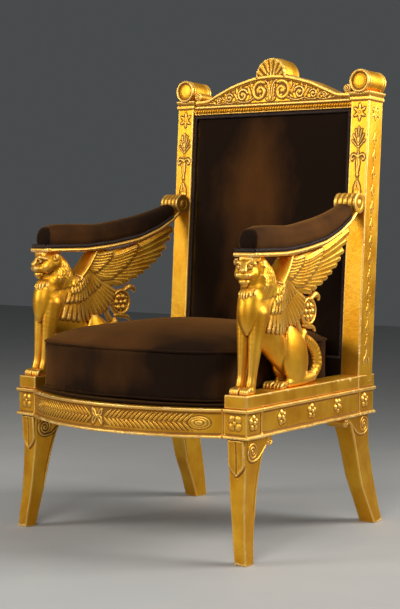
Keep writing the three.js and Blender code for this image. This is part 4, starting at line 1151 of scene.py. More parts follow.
def carve_crest(step):
    block = Block((-252, -6, 655), (252, 66, 798), step)
    x, y, z = block.everywhere()
    flat_x, flat_z = x[:, 0], z[0]
    top = (z - top_edge(x)) * 0.94
    face = CREST_FRONT + CREST_SUNK - crest_relief(flat_x, flat_z)[:, None] - y
    body = meet(face, top, y - CREST_BACK, CREST_LOW - z, round_edge=1.6)
    sweep = np.hypot(x, z - SHELL_HEIGHT) - SHELL_RADIUS
    lobes = 1.1 * np.cos(np.arctan2(z - SHELL_HEIGHT, x) * 22) * (y < 8)
    hood = -np.clip((y - 10) / 6, 0, 1) * 1.6 * np.clip(1 - np.abs(y - 30) / 24, 0, 1)
    shell_face = CREST_FRONT - 0.5 - shell_relief(flat_x, flat_z)[:, None] - y
    shell = meet(sweep - 0.4 * lobes + hood, shell_face, y - SHELL_BACK, SHELL_HEIGHT - 16 - z,
                 round_edge=3.0)
    block.field = melted(body, shell, 1.0).astype(np.float32)
    for side in (-1, 1):
        eye = (side * CURL[0], CURL[1])
        spun = np.hypot(x - eye[0], z - eye[1])
        path = scroll_path(eye, 8.6, 1.5, math.pi / 2, side, (), 0.15, 16)
        curl = stroke(flat_x, flat_z, path, 1.9, 2.0)[:, None]
        roll = meet(spun - 11, -1.6 - curl - y + 1.5, y - CREST_BACK, round_edge=1.2)
        block.field = melted(block.field, roll, 1.5).astype(np.float32)
        spun = np.hypot(x - side * POST_MIDDLE, z - ROLL_HEIGHT)
        block.field = np.maximum(block.field, ROLL_RADIUS + 2 - spun)
        cap = np.maximum(246 - side * x, np.maximum(CAP_LOW - z, z - CAP_TOP - 1))
        block.field = np.maximum(block.field, -cap).astype(np.float32)
    block.field = np.maximum(block.field, np.abs(x) - CREST_END).astype(np.float32)
    return block


crest_block = carve_crest(1.25)
piece = skin(crest_block, "pediment", back_place, 165000, 1)
finished(piece, GILDING, "gilding", "crest_rail")

# %% [markdown]
# A row of small slanted beads runs under the fillet. Geometry Nodes sets one bead on each point
# of a line, and the lean of the back turns the whole row.

# %% The rope moulding
def strand(name, length, girth):
    """One long bead of the rope, upright and with rounded ends; few faces."""
    points, sides, rings = [], 8, 5
    for share in np.linspace(-1, 1, rings):
        wide = girth * math.sqrt(max(1 - share ** 4, 0.04))
        for spot in range(sides):
            turn = 2 * math.pi * spot / sides
            points.append((wide * math.cos(turn), wide * math.sin(turn), share * length / 2))
    return linked(small_object(name, np.array(points) * MM, faces=tube_faces(rings, sides)))


ROPE = Tree("rope_moulding", Length=0.498, Pitch=0.0079, Depth=-0.0032, Height=0.665, Slant=0.35, Lean=LEAN,
            Back=(BACK_Y + FRONT_Y) * MM, Foot=PLINTH_TOP * MM)
count = ROPE.math("FLOOR", ROPE.math("DIVIDE", ROPE["Length"], ROPE["Pitch"]))
line = ROPE.node("GeometryNodeMeshLine", {"Count": count, "Offset": ROPE.vector(ROPE["Pitch"])})
centred = ROPE.node("GeometryNodeTransform", {"Geometry": line, "Translation": ROPE.vector(
    ROPE.math("MULTIPLY", ROPE.math("MULTIPLY", ROPE["Pitch"], ROPE.math("SUBTRACT", count, 1.0)), -0.5),
    ROPE["Depth"], ROPE["Height"])})
beads = ROPE.node("GeometryNodeInstanceOnPoints", {
    "Points": centred, "Instance": ROPE.entry.outputs["Geometry"],
    "Rotation": ROPE.vector(0.0, ROPE["Slant"], 0.0)})
leaning = ROPE.node("GeometryNodeTransform", {
    "Geometry": beads, "Rotation": ROPE.vector(ROPE.math("MULTIPLY", ROPE["Lean"], -1.0)),
    "Translation": ROPE.vector(0.0, ROPE["Back"], ROPE["Foot"])})
ROPE.finish(leaning, GILDING)
rope = ROPE.run(strand("rope_moulding", 11.5, 2.7))
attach(rope, "root")

# %% [markdown]
# ## The winged lions
#
# Each arm rests on a seated lion with a raised wing, carved from one plank on both faces alike. The
# body is melted together from bones and eggs. The wing is a drawing on the side plane: each
# feather gives an outline and a height, and the two together shape both faces of the wing.

# %% Feathers
LION_OUT = -3.0  # the lion's own middle plane, off the side frame's
FEATHER_LIFT = 1.6  # how far a feather's tip stands above its root


def paired(shape):
    """The same shape on both sides of the lion's middle plane."""
    return lambda x, y, z: shape(np.abs(x), y, z)


class Plumage:
    """Outline distance and height of many feathers on a plane."""

    def __init__(self, along, up):
        self.along, self.up = along, up
        self.edge = np.full(np.broadcast(along, up).shape, 40.0, np.float32)
        self.height = np.zeros(self.edge.shape, np.float32)

    def feather(self, spine, width, tier, rise=1.5, barbs=4.2):
        """One feather along its spine, root first; tier is the height of the layer it lies in."""
        spine = smooth_path(spine, 4)
        lengths = np.append(0, np.cumsum(np.hypot(*np.diff(spine, axis=0).T)))
        total = lengths[-1]
        low, high = spine.min(0) - 2 * width, spine.max(0) + 2 * width
        rows = slice(*np.searchsorted(self.along[:, 0], (low[0], high[0])))
        columns = slice(*np.searchsorted(self.up[0], (low[1], high[1])))
        a, b = self.along[rows], self.up[:, columns]
        best = np.full(np.broadcast(a, b).shape, 1e9, np.float32)
        share, off = np.zeros(best.shape, np.float32), np.zeros(best.shape, np.float32)
        for (ax, ay), (bx, by), start, end in zip(spine, spine[1:], lengths, lengths[1:]):
            dx, dy = bx - ax, by - ay
            part = np.clip(((a - ax) * dx + (b - ay) * dy) / (dx * dx + dy * dy + 1e-9), 0, 1)
            px, py = a - ax - part * dx, b - ay - part * dy
            gap = np.hypot(px, py)
            nearer = gap < best
            best = np.where(nearer, gap, best)
            share = np.where(nearer, (start + part * (end - start)) / total, share)
            off = np.where(nearer, np.sign(dx * py - dy * px) * gap, off)
        girth = width * np.minimum(1, 0.45 + 0.9 * share) * np.sqrt(np.clip(1.55 - share, 0, 1))
        edge = best - girth
        across = np.clip(best / np.maximum(girth, 0.1), 0, 1)
        height = tier + FEATHER_LIFT * share + 1.5 * rise * (1 - across ** 1.8)
        height = height - 1.5 * off / width + 0.8 * np.exp(-(off / 1.3) ** 2)
        height = height - 0.22 * (1 + np.cos(2 * np.pi * (share * total + 0.9 * np.abs(off)) / barbs))
        here = self.height[rows, columns]
        self.height[rows, columns] = np.where(edge < 0, np.maximum(here, height), here)
        self.edge[rows, columns] = np.minimum(self.edge[rows, columns], edge)

    def fan(self, roots, tips, count, width, tier, bow=0.0, **more):
        """Feathers spread from a row of roots to a row of tips; bow bends them sideways."""
        roots, tips = (smooth_path(row, 12) for row in (roots, tips))
        for share in np.linspace(0, 1, count):
            root, tip = (row[int(round(share * (len(row) - 1)))] for row in (roots, tips))
            reach = tip - root
            middle = (root + tip) / 2 + bow * np.array([-reach[1], reach[0]])
            self.feather([root, middle, tip], width, tier, **more)


# %% [markdown]
# The wing has four tiers. Long primaries sweep back under the arm, secondaries hang from the
# shoulder, and two shorter rows and a band of small scales lie over their roots.

# %% The wing, drawn on the side plane
def draw_wing(along, up):
    wing = Plumage(along, up)
    wing.fan([(222, 667), (210, 655), (202, 640), (203, 628)],
             [(492, 727), (460, 677), (418, 641), (366, 612), (310, 592)], 10, 12.5, 0.0, bow=-0.07)
    wing.fan([(150, 600), (172, 614), (190, 628), (203, 626)],
             [(101, 513), (143, 507), (187, 505), (228, 513), (256, 529), (276, 548), (286, 572)],
             15, 9.6, 0.6, bow=-0.05)
    wing.fan([(214, 667), (204, 654), (197, 640), (198, 628)],
             [(366, 684), (350, 660), (318, 632), (278, 608)], 9, 10.0, 2.6, bow=-0.08)
    wing.fan([(140, 596), (164, 610), (184, 626), (196, 634)],
             [(112, 552), (148, 553), (181, 560), (214, 576), (238, 594)], 12, 8.2, 3.4, bow=-0.04)
    wing.fan([(206, 669), (198, 656), (190, 642), (192, 634)],
             [(276, 671), (268, 656), (248, 640), (226, 626)], 7, 8.0, 4.8, bow=-0.06, barbs=3.6)
    wing.fan([(126, 586), (150, 598), (170, 612), (186, 628)],
             [(126, 574), (150, 578), (174, 588), (196, 606)], 8, 7.5, 5.4, barbs=3.6)
    return wing


def wing_half(along):
    """Half the plank's thickness under the feathers: stout at the shoulder, thin at the tips."""
    inward = np.clip((216 - along) / 80, 0, 1)
    return 7.0 + 19.5 * inward * inward * (3 - 2 * inward)


# %% [markdown]
# The head is a carver's lion: a square muzzle with heavy pads, a broad flat nose, deep-set eyes
# under a knitted brow, and small round ears set well back in the mane.

# %% The head
HEAD_TURN = math.radians(21)  # both heads look outward


def turned_head(shape):
    """The shape drawn straight ahead, made a little smaller and turned outward on the neck."""
    cosine, sine = math.cos(HEAD_TURN), math.sin(HEAD_TURN)

    def distance(x, y, z):
        out, along = (x + 5) / 0.9, (y - 52) / 0.9
        return 0.84 * shape(cosine * out + sine * along, cosine * along - sine * out + 60,
                            669 + (z - 669) / 0.82)
    return distance


def model_head(block):
    window = (-45, 15, 590), (45, 135, 680)

    def add(shape, melt=5.0):
        block.add(turned_head(shape), *window, melt)

    def carve(shape, melt=1.5):
        block.carve(turned_head(shape), window[0], (45, 120, 680), melt)

    add(egg((0, 82, 645), (27, 30, 27)))
    add(paired(egg((16, 68, 631), (12, 16, 17))), 6)
    add(egg((0, 50, 627), (20, 17, 14)), 6)
    add(bone([(0, 72, 663, 11), (0, 52, 656, 9.5), (0, 38, 643, 7.5)], 1.3), 5)
    add(egg((0, 34, 640), (9.5, 5.5, 5)), 2)
    add(paired(egg((9.5, 40, 628), (10.5, 9, 8))), 3)
    add(egg((0, 51, 611), (14, 13, 7.5)), 3)
    add(bone([(0, 44, 609, 5.5), (0, 48, 602, 5)], 1.9), 3)
    add(paired(bone([(6, 50, 660, 4.5), (14, 50, 662, 4.5), (24, 62, 658, 4.5)])), 6)
    carve(paired(egg((13.5, 47, 650.5), (8, 6.5, 5.2))), 3)
    add(paired(egg((13, 52, 650), (5.8, 5, 4.2))), 0.5)
    add(paired(bone([(6.5, 48, 652.5, 1.2), (13, 46.4, 655, 1.5), (20.5, 52, 652, 1.2)])), 0.8)
    add(paired(bone([(7.5, 48.5, 647, 1.0), (13, 47.6, 645.4, 1.2), (19.5, 52, 647, 1.0)])), 0.8)
    mouth = [(0, 31.5, 623, 1.4), (8, 31, 618.5, 1.8), (16, 38, 616.5, 2.3), (22, 52, 620, 2.0)]
    carve(paired(bone(mouth)), 1)
    carve(bone([(0, 29.5, 635, 1.0), (0, 30.5, 624, 1.2)]), 1)
    carve(paired(egg((4.8, 29.5, 638.5), (2.3, 3, 1.7))), 0.6)
    carve(bone([(0, 42, 664, 1.6), (0, 54, 670, 1.5)]), 2)
    carve(paired(bone([(8, 40, 639, 1.2), (14, 42, 640, 1.6), (19, 50, 638, 1.4)])), 3)
    for row in range(3):
        carve(paired(bone([(11, 31, 630 - 3 * row, 0.5), (19, 40, 629 - 3.5 * row, 0.6)])), 0.5)
    add(paired(egg((27, 92, 661), (8, 7.5, 11))), 2)
    carve(paired(egg((29.5, 85.5, 662), (4.4, 5.5, 7))), 1)
    block.add(rounded_box([-17, 46, 664], [17, 100, 676], 2), *window, 3)


# %% [markdown]
# The mane falls from the ears as a smooth band, brushed back over the neck, and ends below the
# chin in a fringe of short pointed locks. Locks are drawn on the side plane and on the front, and
# the whole surface swells along its normal by their height.

# %% The mane
def model_mane(block):
    def add(path, across, melt=6.0):
        block.add(paired(bone(path, across)), (-48, 30, 560), (48, 185, 678), melt)

    add([(14, 90, 654, 16), (17, 106, 634, 18), (17, 116, 606, 19), (14, 112, 584, 16)], 0.8)
    add([(13, 84, 640, 17), (16, 88, 612, 20), (12, 74, 596, 17), (4, 60, 592, 14)], 0.85)
    cut, (x, y, z) = block.window((-45, 30, 560), (45, 175, 678))
    side = np.zeros((1, y.shape[1], z.shape[2]), np.float32)
    for index in range(8):
        share = index / 7
        top = np.array([82 + 28 * share, 672 - 14 * share])
        foot = np.array([54 + 88 * share, 586 + 4 * share + 8 * share ** 2])
        bend = np.array([10 + 10 * share, 0])
        path = [top, top * 0.7 + foot * 0.3 + bend * 1.2, top * 0.35 + foot * 0.65 + bend * 0.4, foot]
        side = np.maximum(side, stroke(y[0], z[0], path, 7.5, 1.9)[None])
        for step in (0.25, 0.5, 0.75):
            curl = top * (1 - step) + foot * step + bend
            side = np.maximum(side, stroke(y[0], z[0], [curl + (-4, 6), curl + (3, -1), curl + (1, -9)], 3.2,
                                           2.5)[None])
    sideways = np.clip((np.abs(x) - 9) / 8, 0, 1) * np.clip((y - 62) / 16, 0, 1)
    front = np.zeros((x.shape[0], 1, z.shape[2]), np.float32)
    for index in range(-3, 4):
        middle = 6.5 * index
        tip = (1.15 * middle, 580 + 0.5 * abs(middle))
        lock = leaf(x[:, 0], z[0], (0.9 * middle, 620), tip, 4.2, 2.6, groove=0.3)
        front = np.maximum(front, lock[:, None])
    forward = np.clip((66 - y) / 14, 0, 1) * np.clip((612 - z) / 8, 0, 1)
    block.field[cut] -= side * sideways + front * forward


# %% [markdown]
# The forelegs stand straight and slender, the hind legs fold under an egg-shaped thigh, and the
# tail rises behind from the hocks to a ring filled with a flower.

# %% Body, legs and paws
def model_paw(block, out, front, floor, toes=4, long=1.0):
    spread = np.linspace(-7.2, 7.2, toes)
    window = (-45, front - 8, floor - 4), (45, front + 70, floor + 34)
    block.add(paired(egg((out, front + 24 * long, floor + 7), (10, 20 * long, 9.5))), *window, 3)
    for offset in spread:
        toe = [(out + offset, front + 15, floor + 12, 4.0), (out + offset * 1.15, front + 6, floor + 9, 4.4),
               (out + offset * 1.2, front + 3, floor + 3, 3.6)]
        block.add(paired(bone(toe)), *window, 0.8)


def model_body(block):
    whole = (-46, 0, 370), (46, 380, 680)
    block.add(bone([(0, 222, 424, 24), (0, 172, 468, 36), (0, 126, 520, 48), (0, 104, 556, 52),
                    (0, 97, 604, 44), (0, 80, 638, 32)], 0.54), *whole, 4)
    block.add(egg((0, 72, 556), (30, 37, 50)), *whole, 8)
    block.add(bone([(0, 68, 580, 29), (1, 60, 548, 26), (2, 53, 524, 17), (3, 49, 509, 7)], 0.98), *whole, 4)
    block.add(bone([(0, 96, 506, 34), (0, 142, 490, 32), (0, 184, 458, 28)], 0.62), *whole, 8)
    floor = PLINTH_TOP
    foreleg = bone([(15, 76, 548, 27), (15, 66, 498, 20), (14, 58, 445, 14.5), (13.5, 53, 412, 12),
                    (13.5, 49, 396, 12.5), (13.5, 46, 384, 12)], 0.8)
    block.add(paired(foreleg), (-46, 0, 370), (46, 116, 590), 1.5)
    model_paw(block, 13.5, 18, floor)
    parting = bone([(0, 44, 440, 1.6), (0, 48, 470, 2.0), (0, 50, 496, 1.6)])
    block.carve(parting, (-20, 20, 430), (20, 80, 530), 3)
    thigh = bone([(15, 212, 505, 10), (15, 219, 484, 28), (16, 229, 455, 45), (15, 235, 434, 50),
                  (13, 243, 422, 43)], 0.34)
    block.add(paired(thigh), (-50, 150, 372), (50, 320, 515), 1.2)
    block.add(paired(bone([(14, 316, 390, 10), (14, 262, 386, 12), (14, 205, 384, 10)], 0.85)),
              (-46, 150, 370), (46, 340, 420), 3)
    model_paw(block, 14, 157, floor, toes=3, long=0.9)


def model_tail(block):
    window = (-40, 230, 370), (40, 400, 600)
    path = [(0, 296, 388, 10), (0, 334, 391, 12.5), (0, 356, 416, 15), (0, 347, 448, 14.5),
            (0, 321, 470, 12.5), (0, 294, 485, 9)]
    block.add(bone(path, 0.85), *window, 2)
    block.add(bone([(0, 284, 480, 12), (0, 292, 492, 12)], 0.9), *window, 1)
    block.add(bone([(0, 288, 488, 7.5), (0, 270, 512, 7), (0, 262, 545, 6), (0, 258, 572, 6)], 0.9),
              *window, 1.5)
    middle, reach = (314, 542), 29.5
    turn = np.linspace(0, 2 * np.pi, 33)
    ring = [(0, middle[0] + reach * math.cos(a), middle[1] + reach * math.sin(a), 5.2) for a in turn]
    block.add(bone(ring, 1.35, each=1), *window, 1)
    petals = np.linspace(0, 2 * np.pi, 7)[:-1]
    for angles, out, halves in ((petals, 15.5, (8.5, 8.6, 8.6)), ([0], 0, (10, 7, 7)),
                                (petals + 0.52, 22, (5, 5, 5))):
        for angle in angles:
            place = (0, middle[0] + out * math.cos(angle), middle[1] + out * math.sin(angle))
            block.add(egg(place, halves), *window, 0.6)
    block.add(bone([(0, 268, 540, 5), (0, 286, 542, 5)], 1.2), *window, 2)
    block.add(bone([(0, 300, 510, 6), (0, 318, 507, 7), (0, 338, 503, 5), (0, 348, 494, 3)], 1.1), *window, 1)
    block.add(bone([(0, 326, 571, 6), (0, 344, 580, 8), (0, 360, 576, 6), (0, 364, 568, 4)], 1.1), *window, 1)
    cut, (x, y, z) = block.window((-40, 270, 395), (40, 380, 482))
    angle = np.arctan2(z - 430, y - 300)
    block.field[cut] -= 1.3 * np.maximum(0, np.cos(angle * 30)) * (0.3 + np.maximum(0, np.cos(x / 2.6)))


# %% Carve a lion
def carve_lion(step=1.5):
    block = Block((-44, 2, 372), (44, 506, 742), step)
    model_body(block)
    along, up = block.axes[1][:, None].astype(np.float32), block.axes[2][None].astype(np.float32)
    wing = draw_wing(along, up)
    half = wing_half(along) + wing.height
    x = block.axes[0][:, None, None].astype(np.float32)
    plank = meet(np.abs(x) - half[None], np.broadcast_to(wing.edge[None], block.field.shape), round_edge=2.5)
    block.field = melted(block.field, plank.astype(np.float32), 1.5)
    leading = [(0, 100, 545, 10), (0, 110, 572, 12), (0, 134, 595, 12), (0, 161, 612, 11.5),
               (0, 182, 630, 10.5), (0, 197, 648, 10), (0, 211, 665, 9), (0, 226, 676, 7), (0, 256, 678, 4)]
    block.add(bone(leading, 2.5), (-44, 80, 525), (44, 270, 685), 2)
    model_mane(block)
    model_head(block)
    model_tail(block)
    board = np.interp(block.axes[1], *np.transpose(ARM_UNDERSIDE)) - 0.3
    over = block.axes[2][None, None] - board[None, :, None]
    under = PLINTH_TOP + 0.2 - block.axes[2][None, None]
    block.field = np.maximum(np.maximum(block.field, over), under).astype(np.float32)
    return block


ARM_UNDERSIDE = [(0, 675), (180, 675), (268, 683), (360, 698), (431, 722), (480, 747), (514, 774), (600, 860)]
LION_STEP = 1.45
gild_pairs(lambda points, side: side_place(points + [LION_OUT, 0, 0], side),
           (carve_lion(LION_STEP), "lion_", 170000, "winged_lion_"))

# %% [markdown]
# ## The arms
#
# Each arm is a thin gilded board that lies on the lion's head and the wing, with a rolled lip in
# front. At the rear it curls up into a turned barrel between two discs, tenoned to the post.

# %% Carve an arm
ARM_CENTRE, ARM_HALF, BOARD_THICK = -4.0, 29.0, 10.0
BOARD_LOW = [(47, 675), (180, 675), (268, 683), (360, 698), (431, 722), (480, 747), (514, 774)]
SCROLL_EYE, SCROLL_RADIUS = (514.0, 795.0), 25.0


def board_top(along):
    return np.interp(along, *np.transpose(BOARD_LOW)) + BOARD_THICK


def carve_arm(step):
    block = Block((-37, 38, 672), (31, 560, 823), step)
    x, y, z = block.everywhere()
    off = x - ARM_CENTRE
    low = smooth_path(BOARD_LOW, 5)
    low[:, 1] = np.interp(low[:, 0], *np.transpose(BOARD_LOW)) * 0.5 + low[:, 1] * 0.5
    edge = outline_distance(np.vstack([low, (low + [-2, BOARD_THICK])[::-1]]), y[0], z[0])
    proud = 1.6 * np.clip(1 - ((edge + 5) / 3.4) ** 2, 0, 1) * (y[0] > 60)
    board = meet(np.abs(off) - ARM_HALF + 1.2 - proud[None], edge[None], round_edge=2.4)
    lip = meet(np.hypot(y - 47.5, z - 680) - 5.4, np.abs(off) - ARM_HALF - 1.2, round_edge=2.5)
    sweep = np.hypot(y - SCROLL_EYE[0], z - SCROLL_EYE[1])
    bands = 2.6 * (0.5 + 0.5 * np.cos(2 * np.pi * off / 13.5)) ** 0.6 * (np.abs(off) < 24)
    eye = 2.2 * np.clip(1 - (sweep / 8) ** 2, 0, 1) ** 0.5 - 2.0 * np.exp(-((sweep - 11.5) / 2.0) ** 2)
    barrel = meet(sweep - SCROLL_RADIUS + 2.6 - bands - 2.4 * (np.abs(off) > 24),
                  np.abs(off) - ARM_HALF - 1.0 - eye, round_edge=2.0)
    tenon = rounded_box((-22, 514, 782), (12, 580, 806), 1.5)(x, y, z)
    block.field = melted(melted(board, lip, 1.0), melted(barrel, tenon, 2.0), 2.0).astype(np.float32)
    lean = y * math.cos(SIDE_ANGLE) + x * math.sin(SIDE_ANGLE) - BACK_Y - (z - PLINTH_TOP) * math.tan(LEAN)
    block.field = np.maximum(block.field, lean + 0.5).astype(np.float32)
    chip_along(block, ((-30, 43, 677), (22, 43, 677), 4, 1.6, 41),
                      ((25, 70, 676), (25, 300, 686), 5, 1.6, 42))
    return block


arm_block = carve_arm(1.35)
gild_pairs(side_place, (arm_block, "arm_board_", 60000, "arm_"))

# %% [markdown]
# ## Velvet: arm pads, seat cushion and back
#
# Stuffed velvet swells until its cover is taut, so each pad starts slightly small and Blender's
# cloth solver blows it up with pressure and no gravity. The movement is capped, and the pad is
# kept off its neighbours. A stored attribute says where the pile looks lighter or darker: where it
# is brushed, and where light and shade are painted on.

# %% Stuffing
def points_of(piece):
    points = np.zeros(3 * len(piece.data.vertices), np.float32)
    piece.data.vertices.foreach_get("co", points)
    return points.reshape(-1, 3).astype(float)


def move_to(piece, points):
    piece.data.vertices.foreach_set("co", np.asarray(points, np.float32).ravel())
    piece.data.update()


def stuffed(piece, voxel, cap, keep, sewn=None, pressure=4.0, frames=20):
    """Remeshes a pad and lets it swell by at most `cap` metres, within keep(); sewn() marks its seams."""
    remesh = piece.modifiers.new("remesh", "REMESH")
    remesh.mode = "VOXEL"
    remesh.voxel_size = voxel
    settle(piece)
    start = points_of(piece)
    cloth = piece.modifiers.new("cloth", "CLOTH")
    cloth.settings.use_pressure = True
    cloth.settings.uniform_pressure_force = pressure
    cloth.settings.effector_weights.gravity = 0
    cloth.settings.quality = 5
    cloth.settings.tension_stiffness = 20
    cloth.settings.compression_stiffness = 20
    if sewn:
        hold = piece.vertex_groups.new(name="hold")
        hold.add(np.flatnonzero(sewn(start / MM)).tolist(), 1.0, "REPLACE")
        cloth.settings.vertex_group_mass = "hold"
    for frame in range(1, frames + 1):
        bpy.context.scene.frame_set(frame)
    settle(piece)
    bpy.context.scene.frame_set(1)
    push = points_of(piece) - start
    far = np.linalg.norm(push, axis=1, keepdims=True)
    move_to(piece, start + push * np.minimum(1, cap / np.maximum(far, 1e-9)))
    soft = piece.modifiers.new("soft", "CORRECTIVE_SMOOTH")
    soft.iterations = 4
    soft.use_only_smooth = True
    settle(piece)
    move_to(piece, keep(points_of(piece) / MM) * MM)
    smooth = piece.modifiers.new("fine", "SUBSURF")
    smooth.levels = smooth.render_levels = 1
    settle(piece)
    move_to(piece, keep(points_of(piece) / MM) * MM)
    piece.data.shade_smooth()
    print(piece.name, "has", triangles(piece), "triangles")
    return piece


def brushed_and_lit(piece, rule):
    """Stores the nap with painted light and shade: a number, or a rule that gives it from places in
    millimetres and normals.
    """
    points = points_of(piece) / MM
    normals = np.zeros(points.size, np.float32)
    piece.data.vertices.foreach_get("normal", normals)
    value = rule(points, normals.reshape(-1, 3)) if callable(rule) else np.full(len(points), rule)
    nap_and_light = piece.data.attributes.new("nap_and_light", "FLOAT", "POINT")
    nap_and_light.data.foreach_set("value", np.asarray(value, np.float32))


def waves(points, size, seed):
    """Smooth made-up unevenness, about -1 to 1."""
    luck = np.random.default_rng(seed)
    total = np.zeros(len(points))
    for _ in range(7):
        way = luck.normal(size=3)
        total += np.sin(points @ (way / np.linalg.norm(way)) * 2 * np.pi / (size * luck.uniform(0.7, 1.6))
                        + luck.uniform(0, 6.3))
    return total / 4


# %% [markdown]
# An arm pad is a slab rounded over at the top and in front, with room for the gimp at its foot.

# %% Arm pads
PAD_TOP = [(40, 712), (49, 727), (60, 736.5), (80, 742.5), (101, 745), (165, 746), (229, 747), (318, 758),
           (388, 770), (460, 788), (500, 804), (540, 818)]


def over_gimp(height):
    """Half the pad's width: it stands back for the gimp along its foot and swells over it."""
    share = np.clip((height - 8.5) / 7, 0, 1)
    return 24.6 + 3.6 * share * share * (3 - 2 * share)


def pad_field(block, shrink=0.0):
    x, y, z = block.everywhere()
    off = np.abs(x - ARM_CENTRE)
    curve = smooth_path(PAD_TOP, 6)
    top = np.interp(y, curve[:, 0], curve[:, 1]) - 6.5 * (off / 25) ** 2.6
    slope = 1 / np.hypot(1, np.gradient(np.interp(block.axes[1], curve[:, 0], curve[:, 1]), block.axes[1]))
    wide = over_gimp(z - board_top(y)) - shrink - 1.6 * np.clip((z - board_top(y) - 30) / 30, 0, 1)
    above = (z - top + shrink) * np.clip(slope, 0.7, 1)[None, :, None]
    shape = meet(off - wide, above, round_edge=14)
    shape = meet(shape, 48.5 + shrink - y, round_edge=17)
    shape = meet(shape, board_top(y) + 0.5 - z, round_edge=2)
    barrel = SCROLL_RADIUS + 1.8 + shrink - np.hypot(y - SCROLL_EYE[0], z - SCROLL_EYE[1])
    return meet(shape, barrel, round_edge=2)


def arm_keep(side):
    turn = np.array([[math.cos(SIDE_ANGLE), math.sin(SIDE_ANGLE)],
                     [-math.sin(SIDE_ANGLE), math.cos(SIDE_ANGLE)]])

    def keep(points):
        flat = (points[:, :2] - [0, FRONT_Y]) * [side, 1] - [SIDE_X, 0]
        out, along = flat @ turn[0], flat @ turn[1]
        up = np.maximum(points[:, 2], board_top(along) + 0.45)
        limit = over_gimp(up - board_top(along)) + 0.3
        out = ARM_CENTRE + np.clip(out - ARM_CENTRE, -limit, limit)
        along = np.maximum(along, 47.5)
        return side_place(np.column_stack([out, along, up]), side) / MM
    return keep


pad_block = Block((-34, 40, 680), (26, 520, 825), 2.5)
pad_block.field = pad_field(pad_block, 1.5).astype(np.float32)
for name, side in SIDES:
    pad = stuffed(skin(pad_block, "velvet_pad_" + name, side_place, 0, side), 0.0045, 0.005, arm_keep(side))
    # Brushed patches, plus painted light: the sides lighter, the front roll darker, and the right pad lighter
    # than the left
    brushed_and_lit(pad, lambda p, n, s=side: 0.28 * waves(p, 120, 5) + 0.5 * np.abs(n[:, 0]) - 0.6 * (n[:, 1] < -0.5)
            + (0.25 if s > 0 else -0.45))
    finished(pad, VELVET, "velvet", "arm_pad_" + name)

# %% [markdown]
# The loose cushion is a box cushion: two panels of velvet and a boxing band between them, with a
# piped seam along both edges. Its crown is full, and its front edge follows the bow.

# %% Seat cushion
CUSHION_PLAN = [(0, -62), (110, -53), (190, -34), (243, -10), (275, 14), (284, 60), (279, 130), (268, 250),
                (257, 380), (246, 462), (200, 500), (0, 506)]
CUSHION_MIDDLE = np.array([0, 220.0])
TOP_SEAM, LOW_SEAM = 464.0, 357.0


def cushion_plan():
    left = [(-x, y) for x, y in CUSHION_PLAN[-2:0:-1]]
    ring = np.array(CUSHION_PLAN + left, float)
    closed = smooth_path(np.vstack([ring[-2:], ring, ring[:2]]), 10)
    return closed[20:-20]


PLAN_RING = cushion_plan()
PLAN_ANGLES = np.arctan2(*(PLAN_RING - CUSHION_MIDDLE).T)
PLAN_ORDER = np.argsort(PLAN_ANGLES)


def plan_reach(x, y):
    """How far the cushion's edge is from its middle, in the direction of each place."""
    angle = np.arctan2(x - CUSHION_MIDDLE[0], y - CUSHION_MIDDLE[1])
    reach = np.linalg.norm(PLAN_RING - CUSHION_MIDDLE, axis=1)
    return np.interp(angle, PLAN_ANGLES[PLAN_ORDER], reach[PLAN_ORDER], period=2 * np.pi)


def cushion_start(shrink):
    angles = np.linspace(0, 2 * np.pi, 97)[:-1]
    edge = plan_reach(np.sin(angles), CUSHION_MIDDLE[1] + np.cos(angles))
    rings = [(0.02, 352), (0.5, 352), (0.9, 352), (0.982, 353), (1, 357), (0.995, 370), (0.992, 412),
             (0.995, 450), (1, 464), (0.975, 469), (0.92, 478), (0.84, 488), (0.72, 498), (0.5, 507),
             (0.28, 512), (0.02, 514)]
    points = []
    for girth, height in rings:
        reach = girth * (edge - shrink)
        points += [(r * math.sin(t), CUSHION_MIDDLE[1] + r * math.cos(t), height)
                   for r, t in zip(reach, angles)]
    *walls, low_cap, high_cap = tube_faces(len(rings), len(angles))
    outward = [(b, a, d, c) for a, b, c, d in walls] + [low_cap[::-1], high_cap[::-1]]
    return linked(small_object("cushion_velvet", chair_place(np.array(points)), faces=outward))


def cushion_keep(points):
    x, y, z = (points - [0, FRONT_Y, 0]).T
    z = np.maximum(z, 351.2)
    dents = 2.2 * waves(points, 260, 8) * np.clip((z - 470) / 20, 0, 1)
    z = np.minimum(z + dents * 0.35, 523.0)
    far = np.hypot(x, y - CUSHION_MIDDLE[1])
    limit = plan_reach(x, y)
    pinch = 4.0 * np.exp(-((z - TOP_SEAM) / 5) ** 2) + 3.6 * np.exp(-((z - LOW_SEAM) / 4) ** 2)
    pinch = pinch * np.clip((far / limit - 0.93) / 0.04, 0, 1)
    share = np.minimum(1.0, (limit - pinch) / np.maximum(far, 1e-6))
    place = np.column_stack([x * share, CUSHION_MIDDLE[1] + (y - CUSHION_MIDDLE[1]) * share, z])
    return place + [0, FRONT_Y, 0]


def cushion_seams(points):
    x, y, z = (points - [0, FRONT_Y, 0]).T
    at_edge = np.hypot(x, y - CUSHION_MIDDLE[1]) > 0.96 * plan_reach(x, y)
    return at_edge & ((np.abs(z - TOP_SEAM) < 5) | (np.abs(z - LOW_SEAM) < 6))


cushion = stuffed(cushion_start(2.5), 0.0065, 0.014, cushion_keep, cushion_seams)
# Brushed patches, plus painted light: the top lighter than the boxing, and a painted highlight round the
# middle of the boxing
brushed_and_lit(cushion, lambda p, n: 0.3 * waves(p, 210, 3) + 0.75 * np.clip(n[:, 2], 0, 1) - 0.35
        + 0.3 * np.exp(-((p[:, 2] - 405) / 35) ** 2) * (n[:, 2] < 0.5))
finished(cushion, VELVET, "velvet", "seat_cushion")

